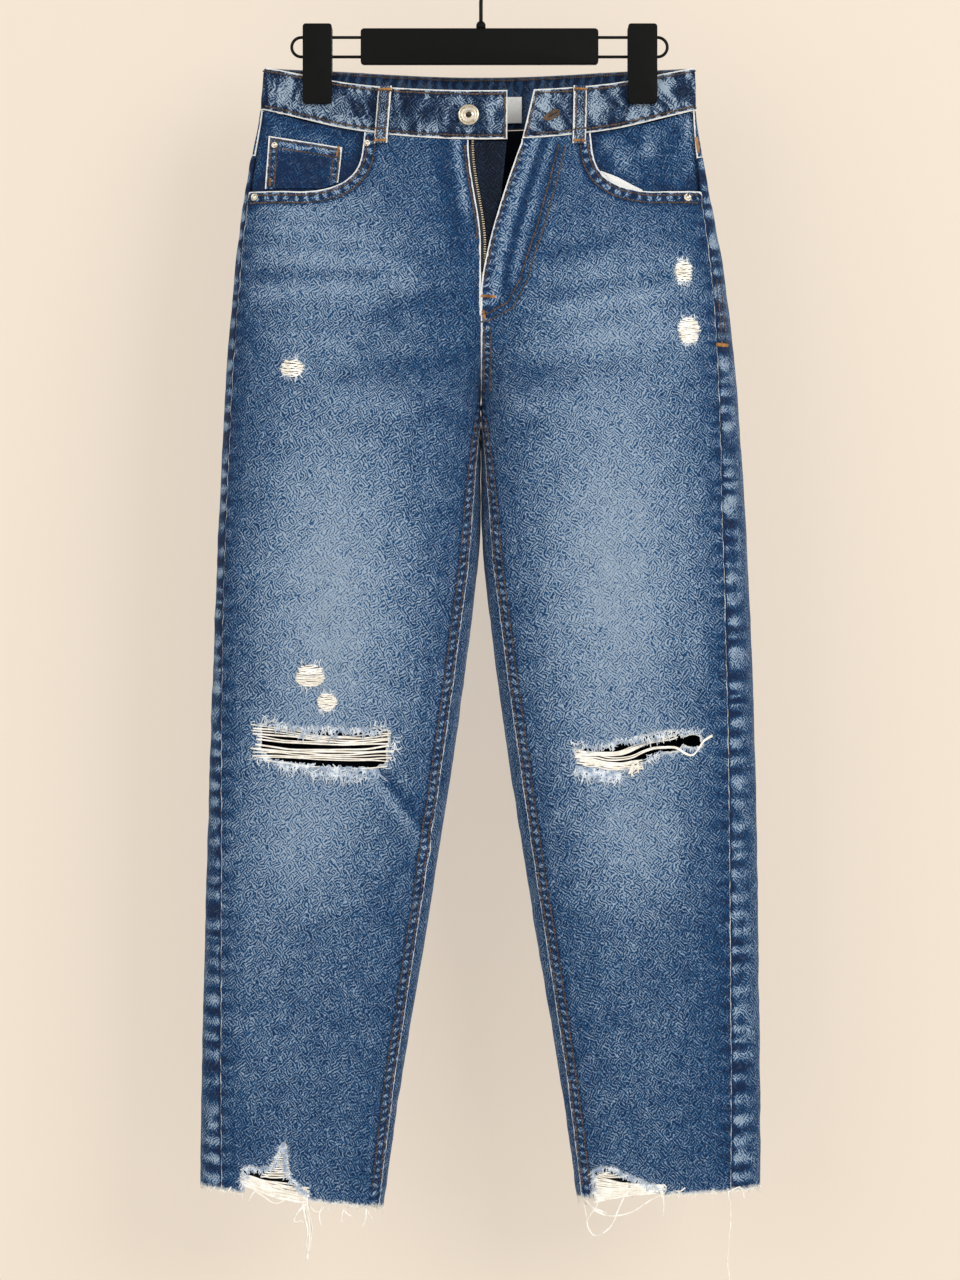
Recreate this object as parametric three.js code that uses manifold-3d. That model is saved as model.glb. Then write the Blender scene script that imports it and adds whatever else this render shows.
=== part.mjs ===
// Ripped ankle-length jeans hanging open-waisted from a clip hanger, in millimetres, +Z up.
// The origin is the underside of the hanger's hook, where a rail carries it. The front faces -Y.
// "right" and "left" are the wearer's, so the right leg is on the -X side.
// The cloth is one hollow form: a section at each depth below the waist, trimmed at the centre plane
// above the crotch, and a closed ring for each leg below it. Every panel is a thin wall on that form.
import * as THREE from "three";
import { mergeVertices } from "three/addons/utils/BufferGeometryUtils.js";
import Module from "manifold-3d";

const wasm = await Module();
wasm.setup();

// ---- Driving dimensions of the jeans ----
const WAIST_Z = -108; // top edge of the waistband at the side seams
const DENIM = 1.6; // one layer of cloth
const BAND_THICK = 3.0; // the waistband's folded layers
const BAND_PROUD = 1.0; // how far the waistband stands out from the panels
const SEAM_GAP = 0.3;
const BAND_GAP = 0.5; // between the waistband and the pieces below it
const CLEAR = 0.9; // between a facet of a panel and what lies over it
const SEAM_ANGLE = 0.004; // the same gap as an angle round a section
const CROTCH = 285; // depth below the waist where the legs part
const FLY_END_RIGHT = 155; // depth where the right fly edge meets the centre
const FLY_END_LEFT = 190;
const CLIP_X = 137; // centre of each hanger clip
const CLIP_PINCH = 4.6; // half thickness of the cloth held in a clip
const ROUNDNESS = 0.3; // how much fuller than an ellipse a section is
const RIGHT = -1;
const LEFT = 1;

// ---- Small mathematics ----
const lerp = (a, b, t) => a + (b - a) * t;
const clamp = (x, low, high) => Math.min(high, Math.max(low, x));
const smooth = (t) => {
  const k = clamp(t, 0, 1);
  return k * k * (3 - 2 * k);
};

// A smooth curve through [position, value] pairs, level beyond its ends.
function through(points) {
  const slope = points.map((p, i) => {
    const before = points[Math.max(0, i - 1)];
    const after = points[Math.min(points.length - 1, i + 1)];
    return (after[1] - before[1]) / (after[0] - before[0]);
  });
  return (x) => {
    if (x <= points[0][0]) return points[0][1];
    const i = points.findIndex((p) => p[0] > x) - 1;
    if (i < 0) return points.at(-1)[1];
    const width = points[i + 1][0] - points[i][0];
    const t = (x - points[i][0]) / width;
    const rise = points[i + 1][1] - points[i][1];
    const a = slope[i] * width;
    const b = slope[i + 1] * width;
    return points[i][1] + t * (a + t * (3 * rise - 2 * a - b + t * (a + b - 2 * rise)));
  };
}

// ---- The form: half widths and half depths by depth below the waist ----
const outerEdges = {
  [RIGHT]: through([[0, 182], [36, 186], [105, 199], [180, 208.5], [306, 217.5], [533, 227], [840, 235.5], [960, 237]]),
  [LEFT]: through([[0, 180], [36, 181], [105, 192.5], [180, 206], [306, 218.5], [533, 230], [840, 235.5], [960, 236]]),
};
const outerEdge = (side, depth) => outerEdges[side](depth);
const innerEdge = through([
  [CROTCH, SEAM_GAP / 2], [400, 1], [460, 7], [560, 20], [710, 43], [860, 68], [960, 82],
]);
const frontDepth = through([[0, 38], [150, 46], [CROTCH, 48], [400, 46], [560, 38], [760, 31], [960, 26]]);
const backDepth = through([[0, 32], [120, 46], [200, 55], [CROTCH, 55], [400, 48], [560, 38], [760, 31], [960, 26]]);
const TRIM_HEIGHT = 135; // over this height above the crotch the two legs merge into one body
const outSeamInset = {
  [RIGHT]: through([[36, 2], [200, 6], [470, 8], [700, 14], [940, 19]]),
  [LEFT]: through([[36, 2], [110, 8], [240, 15], [420, 22], [940, 26]]),
};
const inSeamInset = through([[CROTCH, 0], [400, 8], [700, 8], [955, 4]]);
const hemDepth = {
  [RIGHT]: { outer: 942, inner: 960 },
  [LEFT]: { outer: 943, inner: 952 },
};

function innerAt(side, depth) {
  if (depth >= CROTCH) return innerEdge(depth);
  const t = clamp((CROTCH - depth) / TRIM_HEIGHT, 0, 1);
  return -outerEdge(side, depth) * t * t;
}

const PINCHED_TO = 36; // the clips hold the waistband flat down to here
const FULL_FROM = 156; // below here the section is the full rounded one
const FRONT_BOW = 30;
const BACK_BOW = 20;
const BOW_HALF = 122; // the waist bows out between the clips
const FOLD_SHARPNESS = 0.02;

// The waist's own depth between and beyond the clips.
function waistDepth(x, turn, bow) {
  const wall = (CLIP_PINCH * turn) / Math.sqrt(turn * turn + FOLD_SHARPNESS);
  const between = Math.max(0, 1 - (x / BOW_HALF) ** 2) ** 1.5;
  return wall + bow * between;
}

// Soft troughs and ridges, each a line from one place to another on one side: x, depth, x, depth, width, height.
const CREASES = {
  [RIGHT]: [
    [82, 590, 44, 700, 13, -3.2],
    [138, 430, 132, 520, 9, -1.6],
    [62, 700, 92, 830, 16, 2.0],
    [120, 62, 150, 130, 14, -2.2],
  ],
  [LEFT]: [
    [122, 600, 126, 720, 14, -3.0],
    [70, 560, 60, 700, 15, 2.2],
    [120, 62, 146, 130, 14, -2.2],
    [60, 830, 96, 930, 12, -2.0],
  ],
};

function creaseAt(side, x, depth) {
  let height = 0;
  for (const [x0, d0, x1, d1, width, rise] of CREASES[side]) {
    const length = Math.hypot(x1 - x0, d1 - d0);
    const along = ((x - x0) * (x1 - x0) + (depth - d0) * (d1 - d0)) / length;
    const across = ((x - x0) * (d1 - d0) - (depth - d0) * (x1 - x0)) / length;
    const past = Math.max(0, -along, along - length) / width;
    height += rise * Math.exp(-((across / width) ** 2) - past * past);
  }
  return height;
}

// A point of the form, by its angle round the section: 0 at the outer fold, positive round the front.
function formPoint(side, angle, depth) {
  const outer = outerEdge(side, depth);
  const inner = innerAt(side, depth);
  const half = (outer - inner) / 2;
  const x = (outer + inner) / 2 + half * Math.cos(angle);
  const turn = Math.sin(angle);
  const isFront = turn > 0;
  const full = (isFront ? frontDepth : backDepth)(depth) * Math.abs(turn) * (1 + ROUNDNESS * Math.cos(angle) ** 2);
  const pinched = waistDepth(x, Math.abs(turn), isFront ? FRONT_BOW : BACK_BOW);
  const fullness = smooth((depth - PINCHED_TO) / (FULL_FROM - PINCHED_TO));
  const crease = creaseAt(isFront ? side : -side, x, depth) * Math.abs(turn);
  const y = lerp(pinched, full, fullness) + crease;
  return new THREE.Vector3(side * x, isFront ? -y : y, WAIST_Z - depth);
}

const STEP = 0.02;
// The same point moved out of the cloth by a distance, or into it by a negative one.
function moved(side, angle, depth, out) {
  const point = formPoint(side, angle, depth);
  const around = formPoint(side, angle + STEP, depth).sub(formPoint(side, angle - STEP, depth));
  const down = formPoint(side, angle, depth + 1).sub(formPoint(side, angle, depth - 1));
  const normal = around.cross(down).normalize();
  const centre = (side * (outerEdge(side, depth) + innerAt(side, depth))) / 2;
  const outward = new THREE.Vector3(point.x - centre, point.y * 4, 0);
  if (normal.dot(outward) < 0) normal.negate();
  return point.addScaledVector(normal, out);
}

// The angle at which the front (or back) of a section has this x.
function angleAt(side, x, depth, isFront) {
  const outer = outerEdge(side, depth);
  const inner = innerAt(side, depth);
  const cosine = clamp((x - (outer + inner) / 2) / ((outer - inner) / 2), -1, 1);
  return isFront ? Math.acos(cosine) : -Math.acos(cosine);
}

const onFront = (side, x, depth, out) => moved(side, angleAt(side, x, depth, true), depth, out);
const onBack = (side, x, depth, out) => moved(side, angleAt(side, x, depth, false), depth, out);

// ---- Edges of the panels ----
const sag = (x, drop, power) => drop * Math.max(0, 1 - (x / 184) ** 2) ** power;
const frontBandTop = (x) => sag(x, 24, 1.2);
const frontBandBottom = (x) => 36 + sag(x, 29, 1.2);
const backBandTop = (x) => sag(x, 5, 1);
const backBandBottom = (x) => 36 + sag(x, 14, 1);
const yokeSeam = (x) => 74 + 48 * Math.max(0, 1 - x / 195);

function hemAt(side, x, depth) {
  const across = (x - innerAt(side, depth)) / (outerEdge(side, depth) - innerAt(side, depth));
  return lerp(hemDepth[side].inner, hemDepth[side].outer, clamp(across, 0, 1));
}

// The fly's edge stands off the centre where the fly is open.
function flyEdge(side, depth) {
  if (side === RIGHT) return 10.3 * smooth((FLY_END_RIGHT - depth) / 87);
  return 34 * clamp((FLY_END_LEFT - depth) / 124, 0, 1) ** 1.35;
}

function frontInnerAngle(side, depth) {
  const x = depth < CROTCH ? flyEdge(side, depth) + SEAM_GAP / 2 : innerEdge(depth) + inSeamInset(depth) + SEAM_GAP / 2;
  return angleAt(side, x, depth, true);
}

function backInnerAngle(side, depth) {
  if (depth < CROTCH) return angleAt(side, SEAM_GAP / 2, depth, false);
  return angleAt(side, innerEdge(depth) + inSeamInset(depth), depth, true) - 2 * Math.PI + SEAM_ANGLE;
}

const outSeamAngle = (side, depth) => angleAt(side, outerEdge(side, depth) - outSeamInset[side](depth), depth, true);

// ---- Solids from grids ----
// A closed wall from two grids of points: place(i, j, out) gives the point at column i and row j.
function wall(columns, rows, place, outside, inside) {
  const positions = [];
  for (const out of [outside, inside]) {
    for (let j = 0; j <= rows; j++) {
      for (let i = 0; i <= columns; i++) positions.push(...place(i / columns, j / rows, out).toArray());
    }
  }
  const layer = (columns + 1) * (rows + 1);
  const at = (i, j, k) => k * layer + j * (columns + 1) + i;
  const faces = [];
  const quad = (a, b, c, d) => faces.push(a, b, c, a, c, d);
  for (let j = 0; j < rows; j++) {
    for (let i = 0; i < columns; i++) {
      quad(at(i, j, 0), at(i, j + 1, 0), at(i + 1, j + 1, 0), at(i + 1, j, 0));
      quad(at(i, j, 1), at(i + 1, j, 1), at(i + 1, j + 1, 1), at(i, j + 1, 1));
    }
    quad(at(0, j, 0), at(0, j, 1), at(0, j + 1, 1), at(0, j + 1, 0));
    quad(at(columns, j, 0), at(columns, j + 1, 0), at(columns, j + 1, 1), at(columns, j, 1));
  }
  for (let i = 0; i < columns; i++) {
    quad(at(i, 0, 0), at(i + 1, 0, 0), at(i + 1, 0, 1), at(i, 0, 1));
    quad(at(i, rows, 0), at(i, rows, 1), at(i + 1, rows, 1), at(i + 1, rows, 0));
  }
  const geometry = new THREE.BufferGeometry();
  geometry.setAttribute("position", new THREE.Float32BufferAttribute(positions, 3));
  geometry.setIndex(faces);
  return facingOut(geometry);
}

function facingOut(geometry) {
  const index = geometry.index.array;
  const p = geometry.attributes.position;
  const [a, b, c] = [new THREE.Vector3(), new THREE.Vector3(), new THREE.Vector3()];
  let volume = 0;
  for (let i = 0; i < index.length; i += 3) {
    a.fromBufferAttribute(p, index[i]);
    b.fromBufferAttribute(p, index[i + 1]);
    c.fromBufferAttribute(p, index[i + 2]);
    volume += a.dot(b.cross(c));
  }
  if (volume < 0) {
    for (let i = 0; i < index.length; i += 3) [index[i + 1], index[i + 2]] = [index[i + 2], index[i + 1]];
  }
  return geometry;
}

function toSolid(geometry) {
  const bare = geometry.clone();
  bare.deleteAttribute("normal");
  bare.deleteAttribute("uv");
  const merged = mergeVertices(bare, 1e-3);
  return new wasm.Manifold(
    new wasm.Mesh({
      numProp: 3,
      vertProperties: new Float32Array(merged.attributes.position.array),
      triVerts: new Uint32Array(merged.index.array),
    }),
  );
}

function cut(geometry, ...tools) {
  let solid = toSolid(geometry);
  for (const tool of tools) solid = solid.subtract(toSolid(tool));
  const mesh = solid.getMesh();
  const made = new THREE.BufferGeometry();
  made.setAttribute("position", new THREE.Float32BufferAttribute(mesh.vertProperties, 3));
  made.setIndex([...mesh.triVerts]);
  return made;
}

const CUT_REACH = 150;
// A cutter through the front of one side: an outline in x and depth, pushed back from the front to y = 0.
function frontCutter(side, outline) {
  const shape = new THREE.Shape(outline.map(([x, depth]) => new THREE.Vector2(side * x, WAIST_Z - depth)));
  const prism = new THREE.ExtrudeGeometry(shape, { depth: CUT_REACH, bevelEnabled: false, curveSegments: 4 });
  return prism.rotateX(Math.PI / 2);
}

// ---- Materials ----
const colours = {
  denim: [0x4a6c9b, 0.9, 0],
  denim_dark: [0x2c466e, 0.9, 0],
  waist_denim: [0x4f6f9a, 0.9, 0],
  yarn: [0xe6dccb, 0.95, 0],
  lining: [0xe9e6df, 0.9, 0],
  label: [0xd8d6d0, 0.8, 0],
  tape: [0x16181c, 0.8, 0],
  metal: [0xcfc6b4, 0.35, 1],
  tooth: [0xb9a985, 0.4, 1],
  hanger: [0x101112, 0.5, 0],
};
const materials = Object.fromEntries(
  Object.entries(colours).map(([name, [color, roughness, metalness]]) => [
    name,
    new THREE.MeshStandardMaterial({ name, color, roughness, metalness }),
  ]),
);

const jeans = new THREE.Group();
function add(name, material, geometry) {
  const mesh = new THREE.Mesh(geometry, materials[material]);
  mesh.name = name;
  jeans.add(mesh);
  return mesh;
}
const sideName = { [RIGHT]: "right", [LEFT]: "left" };

// ---- Front and back leg panels ----
const PANEL_COLUMNS = 10;
const PANEL_ROWS = 26;
const ROW_EASE = 1.15; // rows lie closer together towards the waist

// A point of a panel between two edge angles (across it) and two lines (down it).
function panelPoint(side, across, down, out, edges, lines) {
  let depth = lines.guess;
  let angle = 0;
  for (let pass = 0; pass < 5; pass++) {
    angle = lerp(edges[0](side, depth), edges[1](side, depth), across);
    const x = Math.abs(formPoint(side, angle, depth).x);
    depth = lerp(lines.top(x, angle), lines.bottom(x, angle, depth), down);
  }
  return moved(side, angle, depth, out);
}

const pocketCorner = { [RIGHT]: 98, [LEFT]: 92 };
// The pocket's mouth: down beside the belt loop, then a curve from the corner out towards the side seam.
function mouthCurve(side) {
  const x = pocketCorner[side];
  return new THREE.CubicBezierCurve(
    new THREE.Vector2(x + 1, 70), new THREE.Vector2(x + 3, 92), new THREE.Vector2(x + 14, 106),
    new THREE.Vector2(x + 52, 107.5),
  );
}

function pocketMouth(side) {
  const x = pocketCorner[side];
  return [[x, 30], [x, 60], ...mouthCurve(side).getPoints(6).map((p) => [p.x, p.y]), [230, 105], [230, 30]];
}

// The torn knees, as ragged outlines in x and depth.
const kneeHole = {
  [RIGHT]: [
    [78, 560], [92, 557], [110, 561], [128, 556], [144, 560], [160, 557], [174, 552], [183, 556],
    [184, 572], [176, 582], [150, 586], [120, 590], [96, 590], [79, 587],
  ],
  [LEFT]: [
    [79, 576], [92, 573], [104, 573], [114, 568], [126, 569], [138, 563], [152, 560], [163, 560],
    [170, 568], [166, 574], [148, 577], [136, 584], [124, 590], [104, 589], [84, 584],
  ],
};
// The worn-through notches of the hems.
const hemNotch = {
  [RIGHT]: [
    [199, 975], [199, 928], [192, 925], [184, 927], [177, 926], [170, 914], [165, 905], [163, 932], [152, 942],
    [147, 946], [147, 975],
  ],
  [LEFT]: [[95, 975], [95, 930], [101, 926], [112, 927], [120, 932], [134, 937], [150, 943], [150, 975]],
};

for (const side of [RIGHT, LEFT]) {
  const frontSeam = (s, depth) => outSeamAngle(s, depth) + SEAM_ANGLE;
  const toHem = (x, angle, depth) => hemAt(side, x, depth);
  const frontLines = { guess: 400, top: (x) => frontBandBottom(x) + BAND_GAP, bottom: toHem };
  const backLines = { guess: 400, top: (x) => yokeSeam(x) + SEAM_GAP, bottom: toHem };
  const front = wall(
    PANEL_COLUMNS,
    PANEL_ROWS,
    (u, v, out) => panelPoint(side, u, v ** ROW_EASE, out, [frontInnerAngle, frontSeam], frontLines),
    0,
    -DENIM,
  );
  const cutters = [pocketMouth(side), kneeHole[side], hemNotch[side]].map((o) => frontCutter(side, o));
  add(`front_panel_${sideName[side]}`, "denim", cut(front, ...cutters));
  add(
    `back_panel_${sideName[side]}`,
    "denim",
    wall(
      PANEL_COLUMNS + 2,
      PANEL_ROWS,
      (u, v, out) => panelPoint(side, u, v ** ROW_EASE, out, [outSeamAngle, backInnerAngle], backLines),
      0,
      -DENIM,
    ),
  );
}

// ---- Yokes: the shaped pieces between the back panels and the waistband ----
const YOKE_COLUMNS = 12;
const yokeLines = { guess: 74, top: (x) => backBandBottom(x) + BAND_GAP, bottom: yokeSeam };
for (const side of [RIGHT, LEFT]) {
  add(
    `yoke_${sideName[side]}`,
    "denim",
    wall(
      YOKE_COLUMNS,
      3,
      (u, v, out) => panelPoint(side, u, v, out, [outSeamAngle, backInnerAngle], yokeLines),
      0,
      -DENIM,
    ),
  );
}

// ---- Waistband: one strip from the right front end, round the back, to the left front end ----
const BAND_COLUMNS = 56;
const BAND_END_RIGHT = -22; // the right end laps past the centre
const bandEndLeft = (depth) => lerp(44, 34, (depth - 24) / 42);
const bandLines = {
  guess: 20,
  top: (x, angle) => (angle > 0 ? frontBandTop : backBandTop)(x),
  bottom: (x, angle) => (angle > 0 ? frontBandBottom : backBandBottom)(x),
};
const bandEnds = {
  [RIGHT]: (side, depth) => angleAt(side, BAND_END_RIGHT, depth, true),
  [LEFT]: (side, depth) => angleAt(side, bandEndLeft(depth), depth, true),
};
const backCentre = () => -Math.PI / 2;
add(
  "waistband",
  "waist_denim",
  wall(
    BAND_COLUMNS,
    3,
    (u, v, out) => {
      const side = u < 0.5 ? RIGHT : LEFT;
      const fromEnd = side === RIGHT ? 2 * u : 2 - 2 * u;
      return panelPoint(side, fromEnd, v, out, [bandEnds[side], backCentre], bandLines);
    },
    BAND_PROUD,
    BAND_PROUD - BAND_THICK,
  ),
);

// A wall that lies on one face of the form, over a range of x and depth that may change along it.
function patch(side, face, [columns, rows], xAt, depthAt, outside, inside) {
  return wall(columns, rows, (u, v, out) => face(side, xAt(u, v), depthAt(u, v), out), outside, inside);
}

// ---- Fly: the shield behind the zip, the two tapes with their teeth, and the slider ----
const UNDER = -DENIM - 0.7; // just inside a front panel
const TAPE = 1.0;
const FLY_FOOT = 176; // where the zip ends below
const flyDown = (side, v, x) => lerp(frontBandBottom(x) + 2 * SEAM_GAP, FLY_FOOT, v);
add(
  "fly_shield",
  "denim_dark",
  patch(
    RIGHT,
    onFront,
    [4, 8],
    (u, v) => lerp(24, lerp(BAND_END_RIGHT, -10, v), u),
    (u, v) => flyDown(RIGHT, v, 0),
    UNDER - TAPE - SEAM_GAP,
    UNDER - TAPE - SEAM_GAP - DENIM,
  ),
);
const TOOTH_REACH = 4.6; // how far the teeth stand past the right front's edge
const TOOTH_WIDE = 3;
const zip = {
  [RIGHT]: { from: 14, to: (d) => flyEdge(RIGHT, d) - TOOTH_REACH + TOOTH_WIDE + SEAM_GAP },
  [LEFT]: { from: 46, to: (d) => flyEdge(LEFT, d) + TOOTH_WIDE + 5 },
};
for (const side of [RIGHT, LEFT]) {
  const { from, to } = zip[side];
  const depthAt = (u, v) => flyDown(side, v, 20);
  add(
    `zip_tape_${sideName[side]}`,
    "tape",
    patch(
      side, onFront, [3, 8], (u, v) => lerp(from, to(depthAt(u, v)), u), depthAt, UNDER, UNDER - TAPE,
    ),
  );
  add(
    `zip_teeth_${sideName[side]}`,
    "tooth",
    patch(
      side,
      onFront,
      [1, 10],
      (u, v) => to(depthAt(u, v)) - SEAM_GAP - u * TOOTH_WIDE,
      depthAt,
      UNDER + 0.1,
      UNDER - TAPE - 0.1,
    ),
  );
}

// The slider rests at the foot of the open zip, with its pull hanging below it.
const SLIDER_TOP = FLY_FOOT + 1;
const SLIDER_HIGH = 9;
const PULL_HIGH = 14;
const hangsAt = (top, high) => (u, v) => top + v * high;
add(
  "zip_slider",
  "tooth",
  patch(LEFT, onFront, [2, 2], (u) => lerp(0.6, 7.4, u), hangsAt(SLIDER_TOP, SLIDER_HIGH), UNDER, UNDER - 3),
);
add(
  "zip_pull",
  "tooth",
  patch(
    LEFT, onFront, [2, 2], (u) => lerp(1.6, 6.4, u), hangsAt(SLIDER_TOP + SLIDER_HIGH + SEAM_GAP, PULL_HIGH),
    UNDER - 0.9, UNDER - 2.1,
  ),
);

// ---- Pockets ----
const FACING_DEPTH = 124; // the facing ends below the mouth, inside the panel
const FACING = 1.2;
const TUCKED = 3; // the facing's top lies behind the waistband
const PAST_SEAM = 0.04; // radians by which it passes behind the side seam
const facingLevel = { [RIGHT]: UNDER - 0.7, [LEFT]: UNDER - 1.6 };
for (const side of [RIGHT, LEFT]) {
  const inner = pocketCorner[side] - 8;
  add(
    `pocket_facing_${sideName[side]}`,
    "denim",
    wall(
      12,
      6,
      (u, v, out) => {
        const x = lerp(inner, outerEdge(side, lerp(50, FACING_DEPTH, v)), u);
        const depth = lerp(frontBandBottom(x) - TUCKED, FACING_DEPTH, v);
        const seam = outSeamAngle(side, depth) - PAST_SEAM;
        return moved(side, lerp(angleAt(side, inner, depth, true), seam, u), depth, out);
      },
      facingLevel[side],
      facingLevel[side] - FACING,
    ),
  );
}
add(
  "coin_pocket",
  "denim",
  patch(
    RIGHT,
    onFront,
    [10, 4],
    (u, v) => lerp(117 + 3 * v, 179 + 3 * v, u),
    (u, v) => lerp(lerp(68, 58, u), 103.5 - 5 * Math.max(0, 1 - 5 * u), v),
    facingLevel[RIGHT] + CLEAR + 0.9,
    facingLevel[RIGHT] + CLEAR,
  ),
);
// The white lining that shows along the curve of the left pocket.
const LINING_SHOWS = 8;
add(
  "pocket_lining_left",
  "lining",
  wall(
    6,
    2,
    (u, v, out) => {
      const curve = mouthCurve(LEFT);
      const at = curve.getPoint(lerp(0.35, 0.92, u));
      const along = curve.getTangent(lerp(0.35, 0.92, u));
      const reach = lerp(-4, LINING_SHOWS * Math.sin(Math.PI * lerp(0.1, 0.9, u)), v);
      return onFront(LEFT, at.x + along.y * reach, at.y - along.x * reach, out);
    },
    UNDER,
    UNDER - 0.8,
  ),
);

// The plain patch pockets of the back.
for (const side of [RIGHT, LEFT]) {
  add(
    `back_pocket_${sideName[side]}`,
    "denim",
    patch(
      side,
      onBack,
      [10, 8],
      (u, v) => lerp(lerp(42, 50, v), lerp(166, 160, v), u),
      (u, v) => {
        const x = lerp(42, 166, u);
        const point = 22 * (1 - Math.abs(2 * u - 1));
        return lerp(yokeSeam(x) + 14, 226 + point - 10 * u, v);
      },
      CLEAR + DENIM,
      CLEAR,
    ),
  );
}

// ---- Belt loops: straps over the waistband ----
const LOOP_WIDE = 11;
const LOOP_THICK = 1.6;
const LOOP_BELOW = 9;
const loops = [
  { name: "front_right", side: RIGHT, face: onFront, top: 79.5, bottom: 83.5 },
  { name: "front_left", side: LEFT, face: onFront, top: 82.5, bottom: 81.5 },
  { name: "back_right", side: RIGHT, face: onBack, top: 104, bottom: 106 },
  { name: "back_left", side: LEFT, face: onBack, top: 104, bottom: 106 },
  { name: "back_centre", side: LEFT, face: onBack, top: 0, bottom: 0 },
];
for (const { name, side, face, top, bottom } of loops) {
  const [bandTop, bandBottom] = face === onFront ? [frontBandTop, frontBandBottom] : [backBandTop, backBandBottom];
  add(
    `belt_loop_${name}`,
    "denim",
    patch(
      side,
      face,
      [2, 6],
      (u, v) => lerp(top, bottom, v) + (u - 0.5) * LOOP_WIDE,
      (u, v) => lerp(bandTop(top) - 0.5, bandBottom(bottom) + LOOP_BELOW, v),
      BAND_PROUD + CLEAR + LOOP_THICK,
      BAND_PROUD + CLEAR,
    ),
  );
}

// ---- Button and rivets ----
// Turns a profile of [radius, height] pairs round +Y.
const turned = (profile, segments) =>
  new THREE.LatheGeometry(profile.map(([r, h]) => new THREE.Vector2(r, h)), segments);

// Stands a turned piece on the front of the form, its axis along the outward normal there.
function stand(mesh, side, x, depth, lift) {
  const foot = onFront(side, x, depth, lift);
  const normal = onFront(side, x, depth, lift + 1).sub(foot).normalize();
  mesh.position.copy(foot);
  mesh.quaternion.setFromUnitVectors(new THREE.Vector3(0, 1, 0), normal);
}

const BUTTON_RADIUS = 8.9;
const buttonProfile = [
  [0, 0], [4.2, 0], [4.2, 1.4], [BUTTON_RADIUS - 0.6, 1.4], [BUTTON_RADIUS, 2], [BUTTON_RADIUS, 2.7],
  [BUTTON_RADIUS - 0.9, 3.4], [6.6, 3.7], [6.0, 3.2], [3.4, 3.3], [2.8, 3.8], [1.9, 3.8], [1.5, 2.9], [0, 2.9],
];
stand(add("button", "metal", turned(buttonProfile, 28)), RIGHT, 10, 45, BAND_PROUD + CLEAR);

const rivetProfile = (r) => [[0, 0], [r, 0], [r, 0.5], [r * 0.85, 1.0], [r * 0.45, 1.1], [r * 0.4, 1.5], [0, 1.6]];
const rivets = [
  { name: "right_outer", side: RIGHT, x: 190, depth: 111, radius: 3.4, lift: CLEAR },
  { name: "right_inner", side: RIGHT, x: 95.2, depth: 66, radius: 2.9, lift: CLEAR },
  { name: "coin_pocket", side: RIGHT, x: 174, depth: 66, radius: 2.7, lift: facingLevel[RIGHT] + 2 * CLEAR + 0.7 },
  { name: "left_outer", side: LEFT, x: 173, depth: 112, radius: 3.4, lift: CLEAR },
];
for (const { name, side, x, depth, radius, lift } of rivets) {
  stand(add(`rivet_${name}`, "metal", turned(rivetProfile(radius), 16)), side, x, depth, lift);
}

// ---- Bare label on the inside of the back waistband ----
add(
  "label",
  "label",
  patch(
    LEFT, onBack, [2, 1], (u) => lerp(20, 35, u), (u, v) => lerp(22, 44, v),
    BAND_PROUD - BAND_THICK - CLEAR, BAND_PROUD - BAND_THICK - CLEAR - 1,
  ),
);

// ---- Threads across the torn knees, fringe of the hems ----
const THREAD = 1.0;
const threadRight = patch(
  RIGHT, onFront, [10, 4], (u) => lerp(72, 190, u), (u, v) => lerp(560, 589, v), UNDER, UNDER - THREAD,
);
const rungSlots = [0, 1, 2, 3].map((i) => {
  const top = 562.8 + i * 6.6;
  return frontCutter(RIGHT, [[78, top], [184, top], [184, top + 4], [78, top + 4]]);
});
add("knee_threads_right", "yarn", cut(threadRight, ...rungSlots));

const slant = (x) => lerp(580, 562, (x - 79) / 90);
const threadLeft = patch(
  LEFT, onFront, [10, 3], (u) => lerp(73, 176, u), (u, v) => slant(lerp(73, 176, u)) + lerp(-5, 9, v),
  UNDER, UNDER - THREAD,
);
const gapLeft = [[80, -2.5], [168, -2.5], [168, 6], [80, 6]].map(([x, drop]) => [x, slant(x) + drop]);
add("knee_threads_left", "yarn", cut(threadLeft, frontCutter(LEFT, gapLeft)));

const FRINGE_REACH = 12;
const notchWeft = {
  [RIGHT]: { from: 143, to: 203, top: 934 },
  [LEFT]: { from: 91, to: 154, top: 934 },
};
for (const side of [RIGHT, LEFT]) {
  add(
    `hem_fringe_${sideName[side]}`,
    "yarn",
    wall(
      24,
      1,
      (u, v, out) => {
        let depth = 950;
        const angle = u * (2 * Math.PI - 2 * SEAM_ANGLE);
        const x = Math.abs(formPoint(side, angle, depth).x);
        depth = hemAt(side, x, depth) + SEAM_GAP + v * FRINGE_REACH;
        return moved(side, angle, depth, out);
      },
      -0.4,
      -1.4,
    ),
  );
  const { from, to, top } = notchWeft[side];
  add(
    `hem_weft_${sideName[side]}`,
    "yarn",
    patch(
      side, onFront, [5, 2], (u) => lerp(from, to, u), (u, v) => lerp(top, hemAt(side, lerp(from, to, u), 945), v),
      UNDER, UNDER - THREAD,
    ),
  );
}

// A round bar along a path: its section has the given number of sides.
function rod(path, radius, sides, steps) {
  const section = new THREE.Shape(
    Array.from({ length: sides }, (_, i) => {
      const angle = (i / sides) * 2 * Math.PI;
      return new THREE.Vector2(radius * Math.cos(angle), radius * Math.sin(angle));
    }),
  );
  return new THREE.ExtrudeGeometry(section, { extrudePath: path, steps, bevelEnabled: false });
}
const splineOf = (points) => new THREE.CatmullRomCurve3(points.map((p) => new THREE.Vector3(...p)));

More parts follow.
